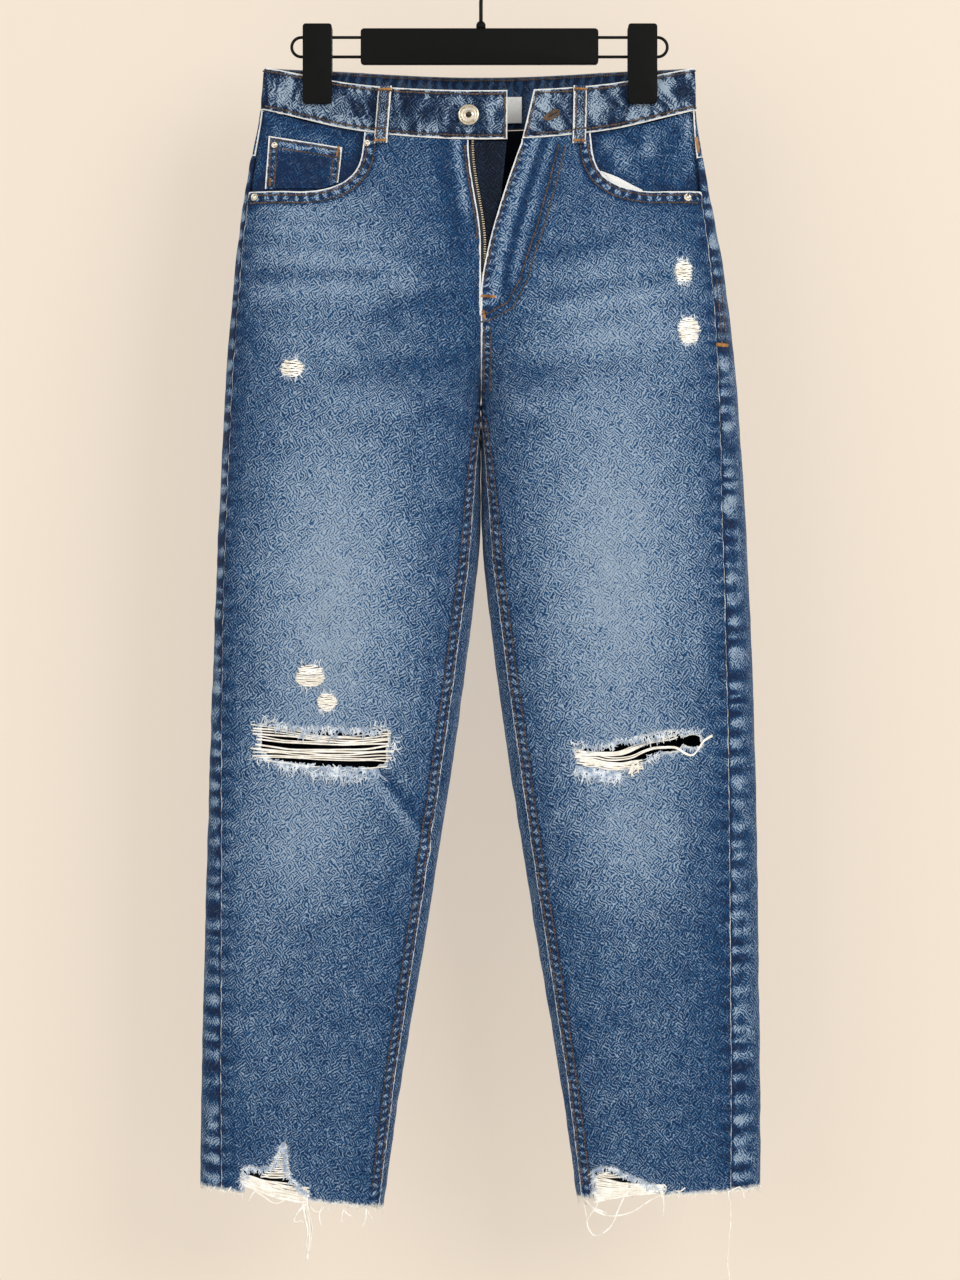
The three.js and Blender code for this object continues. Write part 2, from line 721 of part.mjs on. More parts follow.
const HEM_FRONT = -24;
add(
  "hem_tassel_right",
  "yarn",
  rod(splineOf([[-146.5, HEM_FRONT, -1074], [-147.5, HEM_FRONT - 1, -1090], [-144.5, HEM_FRONT, -1110]]), 2.4, 8, 6),
);
add(
  "loose_thread_left",
  "yarn",
  rod(
    splineOf([
      [207, HEM_FRONT, -1067], [206.5, HEM_FRONT, -1085], [209, HEM_FRONT, -1110], [208, HEM_FRONT + 1, -1140],
    ]),
    0.6,
    6,
    12,
  ),
);

// ---- Hanger: a plate on a wire loop, a hook, and two clips ----
const HANGER_X = -1.2;
const PLATE_WIDE = 200.6;
const PLATE_TOP = -75;
const PLATE_HIGH = 30.6;
const PLATE_THICK = 7;
const WIRE = 1.3; // radius
const LOOP_Z = -90.7;
const LOOP_RADIUS = 8.2;
const LOOP_STRAIGHT = 300.6;
const HOOK_WIRE = 1.6; // radius
const HOOK_RADIUS = 20;

function roundedBar(wide, high, thick, corner) {
  const shape = new THREE.Shape();
  const [w, h] = [wide / 2 - corner, high / 2 - corner];
  shape.absarc(w, h, corner, 0, Math.PI / 2, false);
  shape.absarc(-w, h, corner, Math.PI / 2, Math.PI, false);
  shape.absarc(-w, -h, corner, Math.PI, 1.5 * Math.PI, false);
  shape.absarc(w, -h, corner, 1.5 * Math.PI, 2 * Math.PI, false);
  const bar = new THREE.ExtrudeGeometry(shape, { depth: thick, bevelEnabled: false, curveSegments: 5 });
  return bar.translate(0, 0, -thick / 2).rotateX(Math.PI / 2);
}

// A wire loop with straight sides and round ends, swept as one closed ring.
function wireLoop(radius) {
  const sides = 8;
  const centres = [];
  for (const end of [1, -1]) {
    for (let i = 0; i <= 8; i++) {
      const angle = end * (Math.PI / 2 - (i / 8) * Math.PI);
      centres.push([end * (LOOP_STRAIGHT / 2) + end * LOOP_RADIUS * Math.cos(angle), LOOP_RADIUS * Math.sin(angle), angle, end]);
    }
  }
  const positions = [];
  for (const [x, z, angle, end] of centres) {
    const away = new THREE.Vector3(end * Math.cos(angle), 0, Math.sin(angle));
    for (let i = 0; i < sides; i++) {
      const turn = (i / sides) * 2 * Math.PI;
      positions.push(
        HANGER_X + x + away.x * radius * Math.cos(turn), radius * Math.sin(turn),
        LOOP_Z + z + away.z * radius * Math.cos(turn),
      );
    }
  }
  const faces = [];
  for (let j = 0; j < centres.length; j++) {
    const next = (j + 1) % centres.length;
    for (let i = 0; i < sides; i++) {
      const [a, b] = [j * sides + i, j * sides + ((i + 1) % sides)];
      const [c, d] = [next * sides + i, next * sides + ((i + 1) % sides)];
      faces.push(a, b, d, a, d, c);
    }
  }
  const geometry = new THREE.BufferGeometry();
  geometry.setAttribute("position", new THREE.Float32BufferAttribute(positions, 3));
  geometry.setIndex(faces);
  return facingOut(geometry);
}

const plate = roundedBar(PLATE_WIDE, PLATE_HIGH, PLATE_THICK, 3);
plate.translate(HANGER_X, 0, PLATE_TOP - PLATE_HIGH / 2);
add("hanger_plate", "hanger", cut(plate, wireLoop(WIRE + SEAM_GAP)));
add("hanger_wire", "hanger", wireLoop(WIRE));

const FERRULE_HIGH = 5.5;
const ferruleProfile = [
  [HOOK_WIRE + SEAM_GAP, 0], [4, 0], [4, FERRULE_HIGH - 1], [3.2, FERRULE_HIGH], [HOOK_WIRE + SEAM_GAP, FERRULE_HIGH],
  [HOOK_WIRE + SEAM_GAP, 0],
];
add("hanger_ferrule", "hanger", turned(ferruleProfile, 20).rotateX(Math.PI / 2))
  .position.set(0, 0, PLATE_TOP + SEAM_GAP);

const ARCH_Z = HOOK_WIRE - HOOK_RADIUS; // centre of the hook's arch
const hookPath = new THREE.CurvePath();
const stemTop = new THREE.Vector3(0, 0, ARCH_Z - 34);
hookPath.add(new THREE.LineCurve3(new THREE.Vector3(0, 0, PLATE_TOP + SEAM_GAP), stemTop));
hookPath.add(
  new THREE.CubicBezierCurve3(
    stemTop, new THREE.Vector3(0, 0, ARCH_Z - 20), new THREE.Vector3(HOOK_RADIUS, 0, ARCH_Z - 16),
    new THREE.Vector3(HOOK_RADIUS, 0, ARCH_Z),
  ),
);
const archPoints = Array.from({ length: 15 }, (_, i) => {
  const angle = (i / 14) * Math.PI * 1.12;
  return new THREE.Vector3(HOOK_RADIUS * Math.cos(angle), 0, ARCH_Z + HOOK_RADIUS * Math.sin(angle));
});
for (let i = 1; i < archPoints.length; i++) {
  hookPath.add(new THREE.LineCurve3(archPoints[i - 1], archPoints[i]));
}
add("hanger_hook", "hanger", rod(hookPath, HOOK_WIRE, 10, 40));

const CLIP_WIDE = 24.6;
const CLIP_TOP = -72;
const CLIP_BOTTOM = -139.6;
const JAW_THICK = 4;
const JAW_Y = CLIP_PINCH + BAND_PROUD + 0.6;
const BARREL_RADIUS = 5.4;
for (const side of [RIGHT, LEFT]) {
  const x = side * CLIP_X - 0.8;
  for (const [face, toward] of [["front", -1], ["back", 1]]) {
    const jaw = roundedBar(CLIP_WIDE, CLIP_TOP - CLIP_BOTTOM, JAW_THICK, 3);
    add(`hanger_clip_${face}_${sideName[side]}`, "hanger", jaw)
      .position.set(x, toward * (JAW_Y + JAW_THICK / 2), (CLIP_TOP + CLIP_BOTTOM) / 2);
  }
  const barrel = new THREE.CylinderGeometry(BARREL_RADIUS, BARREL_RADIUS, CLIP_WIDE - 2, 16).rotateZ(Math.PI / 2);
  add(`hanger_spring_${sideName[side]}`, "hanger", barrel).position.set(x, 0, LOOP_Z);
}

export default jeans;
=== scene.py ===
import math

import bpy
import numpy as np
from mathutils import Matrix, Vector
from mathutils.bvhtree import BVHTree


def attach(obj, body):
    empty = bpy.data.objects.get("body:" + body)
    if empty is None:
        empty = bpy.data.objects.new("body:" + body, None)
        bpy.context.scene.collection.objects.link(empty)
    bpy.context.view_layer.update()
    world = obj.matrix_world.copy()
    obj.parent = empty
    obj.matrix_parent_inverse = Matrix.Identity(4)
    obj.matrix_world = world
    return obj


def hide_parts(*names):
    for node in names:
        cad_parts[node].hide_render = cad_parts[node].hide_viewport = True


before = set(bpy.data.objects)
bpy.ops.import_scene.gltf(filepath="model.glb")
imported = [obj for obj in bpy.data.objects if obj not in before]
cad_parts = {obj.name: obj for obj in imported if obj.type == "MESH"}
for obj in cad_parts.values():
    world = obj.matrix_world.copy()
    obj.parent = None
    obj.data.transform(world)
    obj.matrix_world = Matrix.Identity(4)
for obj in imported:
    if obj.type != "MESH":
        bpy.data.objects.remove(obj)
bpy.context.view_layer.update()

# ---- Camera, wall, floor and light ----
# The jeans hang close to a plain pale wall and are seen level from the front.
# The wall shows only from its front, so the jeans can be looked at from behind as well.
MM = 0.001  # every size below is in millimetres, with +Z up and the front towards -Y


def smooth(t):
    k = np.clip(t, 0.0, 1.0)
    return k * k * (3 - 2 * k)


def lerp(a, b, t):
    return a + (b - a) * t


camera = bpy.data.objects.new("camera", bpy.data.cameras.new("camera"))
bpy.context.scene.collection.objects.link(camera)
bpy.context.scene.camera = camera
camera.location = Vector((-0.8, -3211, -591)) * MM
camera.rotation_euler = (math.radians(90), 0, 0)
camera.data.lens = 107

WALL_COLOUR = (0.3, 0.265, 0.225, 1)
WALL_GLOW = (0.54, 0.47, 0.395, 1)  # the light the room throws on it evenly
WALL_Y = 140
FLOOR_Z = -1310
STAGE_HALF = 5000


def new_material(name):
    material = bpy.data.materials.new(name)
    material.use_nodes = True
    return material, material.node_tree.nodes["Principled BSDF"]


def flat_square(name, corners, material):
    mesh = bpy.data.meshes.new(name)
    mesh.from_pydata([Vector(c) * MM for c in corners], [], [(0, 1, 2, 3)])
    square = bpy.data.objects.new(name, mesh)
    bpy.context.scene.collection.objects.link(square)
    mesh.materials.append(material)
    return square


wall_paint, principled = new_material("wall_paint")
principled.inputs["Base Color"].default_value = WALL_COLOUR
principled.inputs["Emission Color"].default_value = WALL_GLOW
principled.inputs["Emission Strength"].default_value = 1.0
principled.inputs["Roughness"].default_value = 0.95
principled.inputs["Specular IOR Level"].default_value = 0.0
nodes = wall_paint.node_tree.nodes
links = wall_paint.node_tree.links
light_path = nodes.new("ShaderNodeLightPath")
geometry = nodes.new("ShaderNodeNewGeometry")
seen = nodes.new("ShaderNodeMath")
seen.operation = "SUBTRACT"
seen.use_clamp = True
links.new(light_path.outputs["Is Camera Ray"], seen.inputs[0])
links.new(geometry.outputs["Backfacing"], seen.inputs[1])
clear = nodes.new("ShaderNodeBsdfTransparent")
shown = nodes.new("ShaderNodeMixShader")
links.new(seen.outputs[0], shown.inputs["Fac"])
links.new(clear.outputs[0], shown.inputs[1])
links.new(principled.outputs[0], shown.inputs[2])
links.new(shown.outputs[0], nodes["Material Output"].inputs["Surface"])
flat_square(
    "wall",
    [(-STAGE_HALF, WALL_Y, FLOOR_Z), (STAGE_HALF, WALL_Y, FLOOR_Z),
     (STAGE_HALF, WALL_Y, STAGE_HALF), (-STAGE_HALF, WALL_Y, STAGE_HALF)],
    wall_paint,
)

floor_paint, principled = new_material("floor_paint")
principled.inputs["Base Color"].default_value = (0.8, 0.75, 0.68, 1)
principled.inputs["Roughness"].default_value = 0.9
flat_square(
    "floor",
    [(-STAGE_HALF, -STAGE_HALF, FLOOR_Z), (STAGE_HALF, -STAGE_HALF, FLOOR_Z),
     (STAGE_HALF, STAGE_HALF, FLOOR_Z), (-STAGE_HALF, STAGE_HALF, FLOOR_Z)],
    floor_paint,
)


def area_light(name, place, aim, size, energy, colour):
    light = bpy.data.objects.new(name, bpy.data.lights.new(name, "AREA"))
    bpy.context.scene.collection.objects.link(light)
    light.data.size = size * MM
    light.data.energy = energy
    light.data.color = colour
    light.location = Vector(place) * MM
    light.rotation_euler = (Vector(aim) - Vector(place)).to_track_quat("-Z", "Y").to_euler()


area_light("window", (2300, -3000, 900), (0, 0, -550), 1900, 92, (1.0, 0.99, 0.97))
area_light("fill", (-2400, -3000, 300), (0, 0, -600), 2600, 52, (1.0, 0.99, 0.97))
area_light("rear", (900, 2600, 300), (0, 0, -600), 2000, 60, (1.0, 0.98, 0.95))
world = bpy.data.worlds.new("room")
bpy.context.scene.world = world
world.use_nodes = True
world.node_tree.nodes["Background"].inputs["Color"].default_value = (1.0, 0.97, 0.93, 1)
world.node_tree.nodes["Background"].inputs["Strength"].default_value = 0.55
bpy.context.scene.view_settings.view_transform = "Standard"

# ---- Denim ----
# Indigo twill, stone washed: pale where it has rubbed, deep blue beside the seams, with the white weft
# showing in its fine crinkles. One node group draws it, and each kind of denim sets its colours.


class Shader:
    """Short ways to add nodes to one node tree."""

    def __init__(self, tree):
        self.tree = tree

    def node(self, kind, **settings):
        node = self.tree.nodes.new(kind)
        for key, value in settings.items():
            setattr(node, key, value)
        return node

    def put(self, socket, value):
        if isinstance(value, bpy.types.NodeSocket):
            self.tree.links.new(value, socket)
        else:
            socket.default_value = value

    def math(self, operation, a, b=0.0):
        node = self.node("ShaderNodeMath", operation=operation)
        self.put(node.inputs[0], a)
        self.put(node.inputs[1], b)
        return node.outputs[0]

    def ramp(self, value, start, end, low=0.0, high=1.0):
        node = self.node("ShaderNodeMapRange", interpolation_type="SMOOTHSTEP")
        self.put(node.inputs["Value"], value)
        for key, setting in (("From Min", start), ("From Max", end), ("To Min", low), ("To Max", high)):
            self.put(node.inputs[key], setting)
        return node.outputs["Result"]

    def noise(self, place, scale, detail=2.0, distortion=0.0):
        node = self.node("ShaderNodeTexNoise")
        self.put(node.inputs["Vector"], place)
        self.put(node.inputs["Scale"], scale)
        self.put(node.inputs["Detail"], detail)
        self.put(node.inputs["Distortion"], distortion)
        return node.outputs["Fac"]

    def mapped(self, place, turn=0.0, scale=(1, 1, 1), shift=(0, 0, 0)):
        """Turns a place and then makes what is drawn there larger by a scale along each axis."""
        node = self.node("ShaderNodeMapping", vector_type="TEXTURE")
        self.put(node.inputs["Vector"], place)
        node.inputs["Rotation"].default_value = (0, 0, turn)
        node.inputs["Scale"].default_value = scale
        node.inputs["Location"].default_value = shift
        return node.outputs["Vector"]

    def mix(self, amount, a, b):
        node = self.node("ShaderNodeMix", data_type="RGBA")
        self.put(node.inputs["Factor"], amount)
        self.put(node.inputs["A"], a)
        self.put(node.inputs["B"], b)
        return node.outputs["Result"]

    def attribute(self, name, output="Fac"):
        return self.node("ShaderNodeAttribute", attribute_name=name).outputs[output]

    def relief(self, principled, height, distance, strength=1.0):
        """Raises a surface by up to a distance in millimetres."""
        bump = self.node("ShaderNodeBump")
        self.put(bump.inputs["Strength"], strength)
        self.put(bump.inputs["Distance"], distance * MM)
        self.put(bump.inputs["Height"], height)
        self.put(principled.inputs["Normal"], bump.outputs["Normal"])


def node_group(name, inputs, outputs):
    """An empty shader node group with named sockets, and its input and output nodes."""
    group = bpy.data.node_groups.new(name, "ShaderNodeTree")
    for direction, sockets in (("INPUT", inputs), ("OUTPUT", outputs)):
        for socket, kind in sockets.items():
            group.interface.new_socket(name=socket, in_out=direction, socket_type=kind)
    return group, group.nodes.new("NodeGroupInput").outputs, group.nodes.new("NodeGroupOutput").inputs


FLOAT, COLOUR, VECTOR = "NodeSocketFloat", "NodeSocketColor", "NodeSocketVector"
denim_group, given, result = node_group(
    "washed_denim",
    {
        "Cloth": VECTOR, "Fade": FLOAT, "Edge": FLOAT, "Torn": FLOAT, "Ladder": FLOAT, "Run": FLOAT,
        "Inner": FLOAT, "Deep": COLOUR, "Middle": COLOUR, "Faded": COLOUR, "Weft": COLOUR, "Worn": COLOUR,
        "Inside": COLOUR, "Pleated": FLOAT,
    },
    {"Color": COLOUR, "Roughness": FLOAT, "Height": FLOAT},
)
s = Shader(denim_group)
cloth = given["Cloth"]
# Shrunk cloth crinkles into fine ridges that lie one way, then the other, mostly on the bias.
ridges = []
for turn, shift in ((0.8, (0, 0, 0)), (-0.65, (60, 20, 0))):
    ridge = s.node("ShaderNodeTexWave", bands_direction="X")
    s.put(ridge.inputs["Vector"], s.mapped(cloth, turn, (1, 1, 1), shift))
    ridge.inputs["Scale"].default_value = 0.138
    ridge.inputs["Distortion"].default_value = 11.0
    ridge.inputs["Detail"].default_value = 3.0
    ridge.inputs["Detail Scale"].default_value = 1.2
    ridge.inputs["Detail Roughness"].default_value = 0.6
    ridges.append(ridge.outputs["Fac"])
either = s.ramp(s.noise(cloth, 0.15, 1.0), 0.46, 0.54)
ridge = s.math("ADD", ridges[0], s.math("MULTIPLY", either, s.math("SUBTRACT", ridges[1], ridges[0])))
# A few longer curled streaks of weft stand out lighter.
strands = None
for turn, shift, long in ((0.55, (0, 0, 0), 7.0), (-0.6, (60, 20, 0), 6.0), (1.25, (0, 90, 0), 6.5)):
    strand = s.noise(s.mapped(cloth, turn, (1, long, 1), shift), 0.8, 1.0, 0.45)
    strands = strand if strands is None else s.math("MAXIMUM", strands, strand)
streaks = s.ramp(strands, 0.63, 0.7)
twill = s.node("ShaderNodeTexWave", bands_direction="DIAGONAL")
s.put(twill.inputs["Vector"], s.mapped(cloth, 0.15))
twill.inputs["Scale"].default_value = 0.2
twill.inputs["Distortion"].default_value = 1.2
twill.inputs["Detail"].default_value = 1.0
slub = s.noise(s.mapped(cloth, 0.0, (1, 28, 1)), 0.75, 3.0)
mottle = s.noise(cloth, 0.05, 3.0)
grain = s.noise(cloth, 1.1, 3.0)
# Seams pucker into a ladder of light and dark between their rows of stitches.
wander = s.math("MULTIPLY", s.noise(cloth, 0.12, 1.0), 7.0)
rung = s.math("SINE", s.math("ADD", s.math("MULTIPLY", given["Run"], 2 * math.pi / 7.0), wander))
pleat = s.math("MULTIPLY", s.ramp(rung, -0.3, 1.0), given["Pleated"])
rung = s.math("MULTIPLY", rung, given["Ladder"])
# The fade-and-shade field holds rubbed wear and, in places, painted shade: shadows along seams and stitch
# rows, in a knee crease, at the pockets' mouths and behind worn spots.
tone = given["Fade"]
for effect, weight in ((mottle, 0.8), (slub, 0.8), (grain, 1.1), (ridge, 1.6), (twill.outputs["Fac"], 0.3)):
    tone = s.math("ADD", tone, s.math("MULTIPLY", s.math("SUBTRACT", effect, 0.5), weight))
tone = s.math("ADD", tone, s.math("MULTIPLY", rung, 0.8))
colour = s.mix(s.ramp(tone, -1.0, 0.0), given["Deep"], given["Middle"])
colour = s.mix(s.ramp(tone, 0.0, 1.0), colour, given["Faded"])
colour = s.mix(s.math("MULTIPLY", streaks, s.ramp(tone, -1.0, 0.8, 0.08, 0.55)), colour, given["Weft"])
# Folded and sewn edges rub white, torn ones fray to it.
uneven = s.math("ADD", s.math("MULTIPLY", grain, 1.2), s.math("MULTIPLY", s.noise(cloth, 0.16, 1.0), 1.6))
rub = s.ramp(s.math("ADD", given["Edge"], uneven), 2.0, 2.9, 1.0, 0.0)
torn = s.math("ADD", given["Torn"], s.math("MULTIPLY", s.noise(cloth, 0.5, 2.0), 6.0))
fray = s.ramp(torn, 2.5, 6.5, 0.85, 0.0)
colour = s.mix(s.math("MAXIMUM", rub, fray), colour, given["Worn"])
# Painted shade: the inner face takes the near-black inside colour, for the dark inside of the legs and band;
# on pleated cloth it lightens to the middle blue in stripes along the puckers.
colour = s.mix(given["Inner"], colour, s.mix(pleat, given["Inside"], given["Middle"]))
s.put(result["Color"], colour)
s.put(result["Roughness"], s.ramp(tone, -1.0, 1.0, 0.82, 0.95))
height = s.math("ADD", s.math("MULTIPLY", ridge, 0.8), s.math("MULTIPLY", streaks, 0.5))
height = s.math("ADD", height, s.math("MULTIPLY", grain, 0.6))
s.put(result["Height"], s.math("ADD", height, s.math("MULTIPLY", rung, 0.8)))


# The inside colour is painted shade for the inner face of the cloth.
def denim(name, deep, middle, faded, inside, weft=(0.3, 0.41, 0.55), inner=1.0, pleated=0.0):
    """A denim of its own colours."""
    material, principled = new_material(name)
    shader = Shader(material.node_tree)
    group = shader.node("ShaderNodeGroup", node_tree=denim_group)
    shader.put(group.inputs["Cloth"], shader.attribute("cloth", "Vector"))
    for socket in ("Fade", "Edge", "Torn", "Ladder", "Run"):
        shader.put(group.inputs[socket], shader.attribute(socket.lower()))
    shader.put(group.inputs["Inner"], shader.math("MULTIPLY", shader.attribute("inner"), inner))
    for socket, colour in (("Deep", deep), ("Middle", middle), ("Faded", faded), ("Inside", inside)):
        group.inputs[socket].default_value = (*colour, 1)
    group.inputs["Weft"].default_value = (*weft, 1)
    group.inputs["Pleated"].default_value = pleated
    group.inputs["Worn"].default_value = (0.72, 0.73, 0.72, 1)
    shader.put(principled.inputs["Base Color"], group.outputs["Color"])
    shader.put(principled.inputs["Roughness"], group.outputs["Roughness"])
    shader.relief(principled, group.outputs["Height"], 0.35, 0.55)
    principled.inputs["Sheen Weight"].default_value = 0.04
    principled.inputs["Specular IOR Level"].default_value = 0.15
    return material


body_denim = denim(
    "body_denim", (0.003, 0.015, 0.054), (0.0095, 0.064, 0.168), (0.265, 0.338, 0.43), (0.006, 0.009, 0.018)
)

# ---- Front and back leg panels ----
# Each leg is cut from a front and a wider back, which wraps round to the front a little past both seams.
# They are one layer of cotton twill, sewn at the side and inseam and torn at the knees and hems.
WAIST_Z = -108.0
DENIM = 1.6
SEAM_GAP = 0.3
BAND_GAP = 0.5
SEAM_ANGLE = 0.004
FAR = 20.0  # a distance from an edge at which nothing of it shows
PUCKER_PITCH = 15.5
CROTCH = 285.0
TRIM_HEIGHT = 135.0
FLY_END_RIGHT = 155.0
FLY_END_LEFT = 190.0
CLIP_PINCH = 4.6
ROUNDNESS = 0.3
PINCHED_TO = 36.0
FULL_FROM = 156.0
FRONT_BOW = 30.0
BACK_BOW = 20.0
BOW_HALF = 122.0
FOLD_SHARPNESS = 0.02
RIGHT = -1
LEFT = 1
SIDE_NAME = {RIGHT: "right", LEFT: "left"}


def through(points):
    """A smooth curve through (position, value) pairs, level beyond its ends."""
    at, value = np.array(points, float).T
    slope = np.gradient(value, at)
    slope[1:-1] = (value[2:] - value[:-2]) / (at[2:] - at[:-2])

    def curve(x):
        x = np.clip(x, at[0], at[-1])
        i = np.clip(np.searchsorted(at, x, side="right") - 1, 0, len(at) - 2)
        width = at[i + 1] - at[i]
        t = (x - at[i]) / width
        rise = value[i + 1] - value[i]
        a = slope[i] * width
        b = slope[i + 1] * width
        return value[i] + t * (a + t * (3 * rise - 2 * a - b + t * (a + b - 2 * rise)))

    return curve


outer_edge = {
    RIGHT: through(
        [(0, 182), (36, 186), (105, 199), (180, 208.5), (306, 217.5), (533, 227), (840, 235.5), (960, 237)]
    ),
    LEFT: through(
        [(0, 180), (36, 181), (105, 192.5), (180, 206), (306, 218.5), (533, 230), (840, 235.5), (960, 236)]
    ),
}
inner_edge = through([(CROTCH, SEAM_GAP / 2), (400, 1), (460, 7), (560, 20), (710, 43), (860, 68), (960, 82)])
front_depth = through([(0, 38), (150, 46), (CROTCH, 48), (400, 46), (560, 38), (760, 31), (960, 26)])
back_depth = through(
    [(0, 32), (120, 46), (200, 55), (CROTCH, 55), (400, 48), (560, 38), (760, 31), (960, 26)]
)
out_seam_inset = {
    RIGHT: through([(36, 2), (200, 6), (470, 8), (700, 14), (940, 19)]),
    LEFT: through([(36, 2), (110, 8), (240, 15), (420, 22), (940, 26)]),
}
in_seam_inset = through([(CROTCH, 0), (400, 8), (700, 8), (955, 4)])
hem_depth = {RIGHT: (942, 960), LEFT: (943, 952)}

# Creases as soft troughs and ridges: x, depth, x, depth, width, height. A back has its neighbour's, mirrored.
CREASES = {
    RIGHT: [
        (82, 590, 44, 700, 13, -3.2), (138, 430, 132, 520, 9, -1.6), (62, 700, 92, 830, 16, 2.0),
        (120, 62, 150, 130, 14, -2.2),
    ],
    LEFT: [
        (122, 600, 126, 720, 14, -3.0), (70, 560, 60, 700, 15, 2.2), (120, 62, 146, 130, 14, -2.2),
        (60, 830, 96, 930, 12, -2.0),
    ],
}


def line_hill(lines, x, depth):
    """The sum of soft ridges along lines."""
    total = np.zeros(np.broadcast(x, depth).shape)
    for x0, d0, x1, d1, width, rise in lines:
        length = math.hypot(x1 - x0, d1 - d0)
        along = ((x - x0) * (x1 - x0) + (depth - d0) * (d1 - d0)) / length
        across = ((x - x0) * (d1 - d0) - (depth - d0) * (x1 - x0)) / length
        past = np.maximum(0, np.maximum(-along, along - length)) / width
        total += rise * np.exp(-((across / width) ** 2) - past**2)
    return total


def inner_at(side, depth):
    t = np.clip((CROTCH - depth) / TRIM_HEIGHT, 0, 1)
    return np.where(depth >= CROTCH, inner_edge(depth), -outer_edge[side](depth) * t * t)


def form_point(side, angle, depth):
    """A point of the hollow form, by its angle round the section: 0 at the outer fold, positive in front."""
    angle, depth = np.broadcast_arrays(np.asarray(angle, float), np.asarray(depth, float))
    outer = outer_edge[side](depth)
    inner = inner_at(side, depth)
    x = (outer + inner) / 2 + (outer - inner) / 2 * np.cos(angle)
    turn = np.abs(np.sin(angle))
    front = np.sin(angle) > 0
    full = np.where(front, front_depth(depth), back_depth(depth)) * turn
    full = full * (1 + ROUNDNESS * np.cos(angle) ** 2)
    between = np.maximum(0, 1 - (x / BOW_HALF) ** 2) ** 1.5
    bow = np.where(front, FRONT_BOW, BACK_BOW) * between
    pinched = CLIP_PINCH * turn / np.sqrt(turn**2 + FOLD_SHARPNESS) + bow
    fullness = smooth((depth - PINCHED_TO) / (FULL_FROM - PINCHED_TO))
    crease = np.where(front, line_hill(CREASES[side], x, depth), line_hill(CREASES[-side], x, depth)) * turn
    y = lerp(pinched, full, fullness) + crease
    return np.stack([side * x, np.where(front, -y, y), WAIST_Z - depth], -1)


def unit(vectors):
    return vectors / np.linalg.norm(vectors, axis=-1, keepdims=True)


def outward(side, angle, depth):
    """The form's outward normal."""
    around = form_point(side, angle + 0.02, depth) - form_point(side, angle - 0.02, depth)
    down = form_point(side, angle, depth + 1) - form_point(side, angle, depth - 1)
    normal = unit(np.cross(around, down))
    point = form_point(side, angle, depth)
    centre = side * (outer_edge[side](depth) + inner_at(side, depth)) / 2
    away = np.stack([point[..., 0] - centre, point[..., 1] * 4, np.zeros_like(point[..., 0])], -1)
    return normal * np.where((normal * away).sum(-1, keepdims=True) < 0, -1, 1)


def moved(side, angle, depth, out):
    """A point of the form, moved out of the cloth by a distance, or into it by a negative one."""
    return form_point(side, angle, depth) + outward(side, angle, depth) * np.asarray(out, float)[..., None]


def angle_at(side, x, depth, front=True):
    outer = outer_edge[side](depth)
    inner = inner_at(side, depth)
    angle = np.arccos(np.clip((x - (outer + inner) / 2) / ((outer - inner) / 2), -1, 1))
    return angle if front else -angle


def sag(x, drop, power):
    return drop * np.maximum(0, 1 - (x / 184) ** 2) ** power


def front_band_top(x):
    return sag(x, 24, 1.2)


def front_band_bottom(x):
    return 36 + sag(x, 29, 1.2)


def back_band_top(x):
    return sag(x, 5, 1)


def back_band_bottom(x):
    return 36 + sag(x, 14, 1)


def yoke_seam(x):
    return 74 + 48 * np.maximum(0, 1 - x / 195)


def hem_at(side, x, depth):
    inner = inner_at(side, depth)
    across = (x - inner) / (outer_edge[side](depth) - inner)
    return lerp(hem_depth[side][1], hem_depth[side][0], np.clip(across, 0, 1))


def fly_edge(side, depth):
    if side == RIGHT:
        return 10.3 * smooth((FLY_END_RIGHT - depth) / 87)
    return 34 * np.clip((FLY_END_LEFT - depth) / 124, 0, 1) ** 1.35


def front_inner_angle(side, depth):
    leg = inner_edge(depth) + in_seam_inset(depth)
    return angle_at(side, np.where(depth < CROTCH, fly_edge(side, depth), leg) + SEAM_GAP / 2, depth)


def back_inner_angle(side, depth):
    leg = angle_at(side, inner_edge(depth) + in_seam_inset(depth), depth) - 2 * math.pi + SEAM_ANGLE
    return np.where(depth < CROTCH, angle_at(side, SEAM_GAP / 2, depth, False), leg)


def out_seam_angle(side, depth):
    return angle_at(side, outer_edge[side](depth) - out_seam_inset[side](depth), depth)


def front_seam_angle(side, depth):
    return out_seam_angle(side, depth) + SEAM_ANGLE


def panel_grid(side, across, down, edges, top, bottom, guess):
    """Angles and depths of a grid between two edge angles (across) and two lines (down)."""
    u, v = np.meshgrid(across, down)
    depth = np.full(u.shape, float(guess))
    for _ in range(6):
        angle = lerp(edges[0](side, depth), edges[1](side, depth), u)
        x = np.abs(form_point(side, angle, depth)[..., 0])
        depth = lerp(top(x, angle), bottom(x, angle, depth), v)
    return angle, depth


def spaced(length, step, fine=()):
    """Positions from 0 to 1 along a length, closer together in the fine ranges (start, end, step)."""
    at = np.arange(0, length + 1, 1.0)
    density = np.full(at.shape, 1 / step)
    for start, end, small in fine:
        density[(at >= start) & (at <= end)] = 1 / small
    total = np.concatenate([[0], np.cumsum((density[1:] + density[:-1]) / 2)])
    return np.interp(np.linspace(0, total[-1], int(total[-1]) + 1), total, at) / length


def lumps(a, b, size, seed):
    """Soft random lumps between -1 and 1 over a plane."""
    table = np.random.default_rng(seed).uniform(-1, 1, (128, 128))
    i = np.asarray(a, float) / size
    j = np.asarray(b, float) / size
    i0 = np.floor(i).astype(int)
    j0 = np.floor(j).astype(int)
    p = smooth(i - i0)
    q = smooth(j - j0)
    low = lerp(table[i0 % 128, j0 % 128], table[(i0 + 1) % 128, j0 % 128], p)
    high = lerp(table[i0 % 128, (j0 + 1) % 128], table[(i0 + 1) % 128, (j0 + 1) % 128], p)
    return lerp(low, high, q)


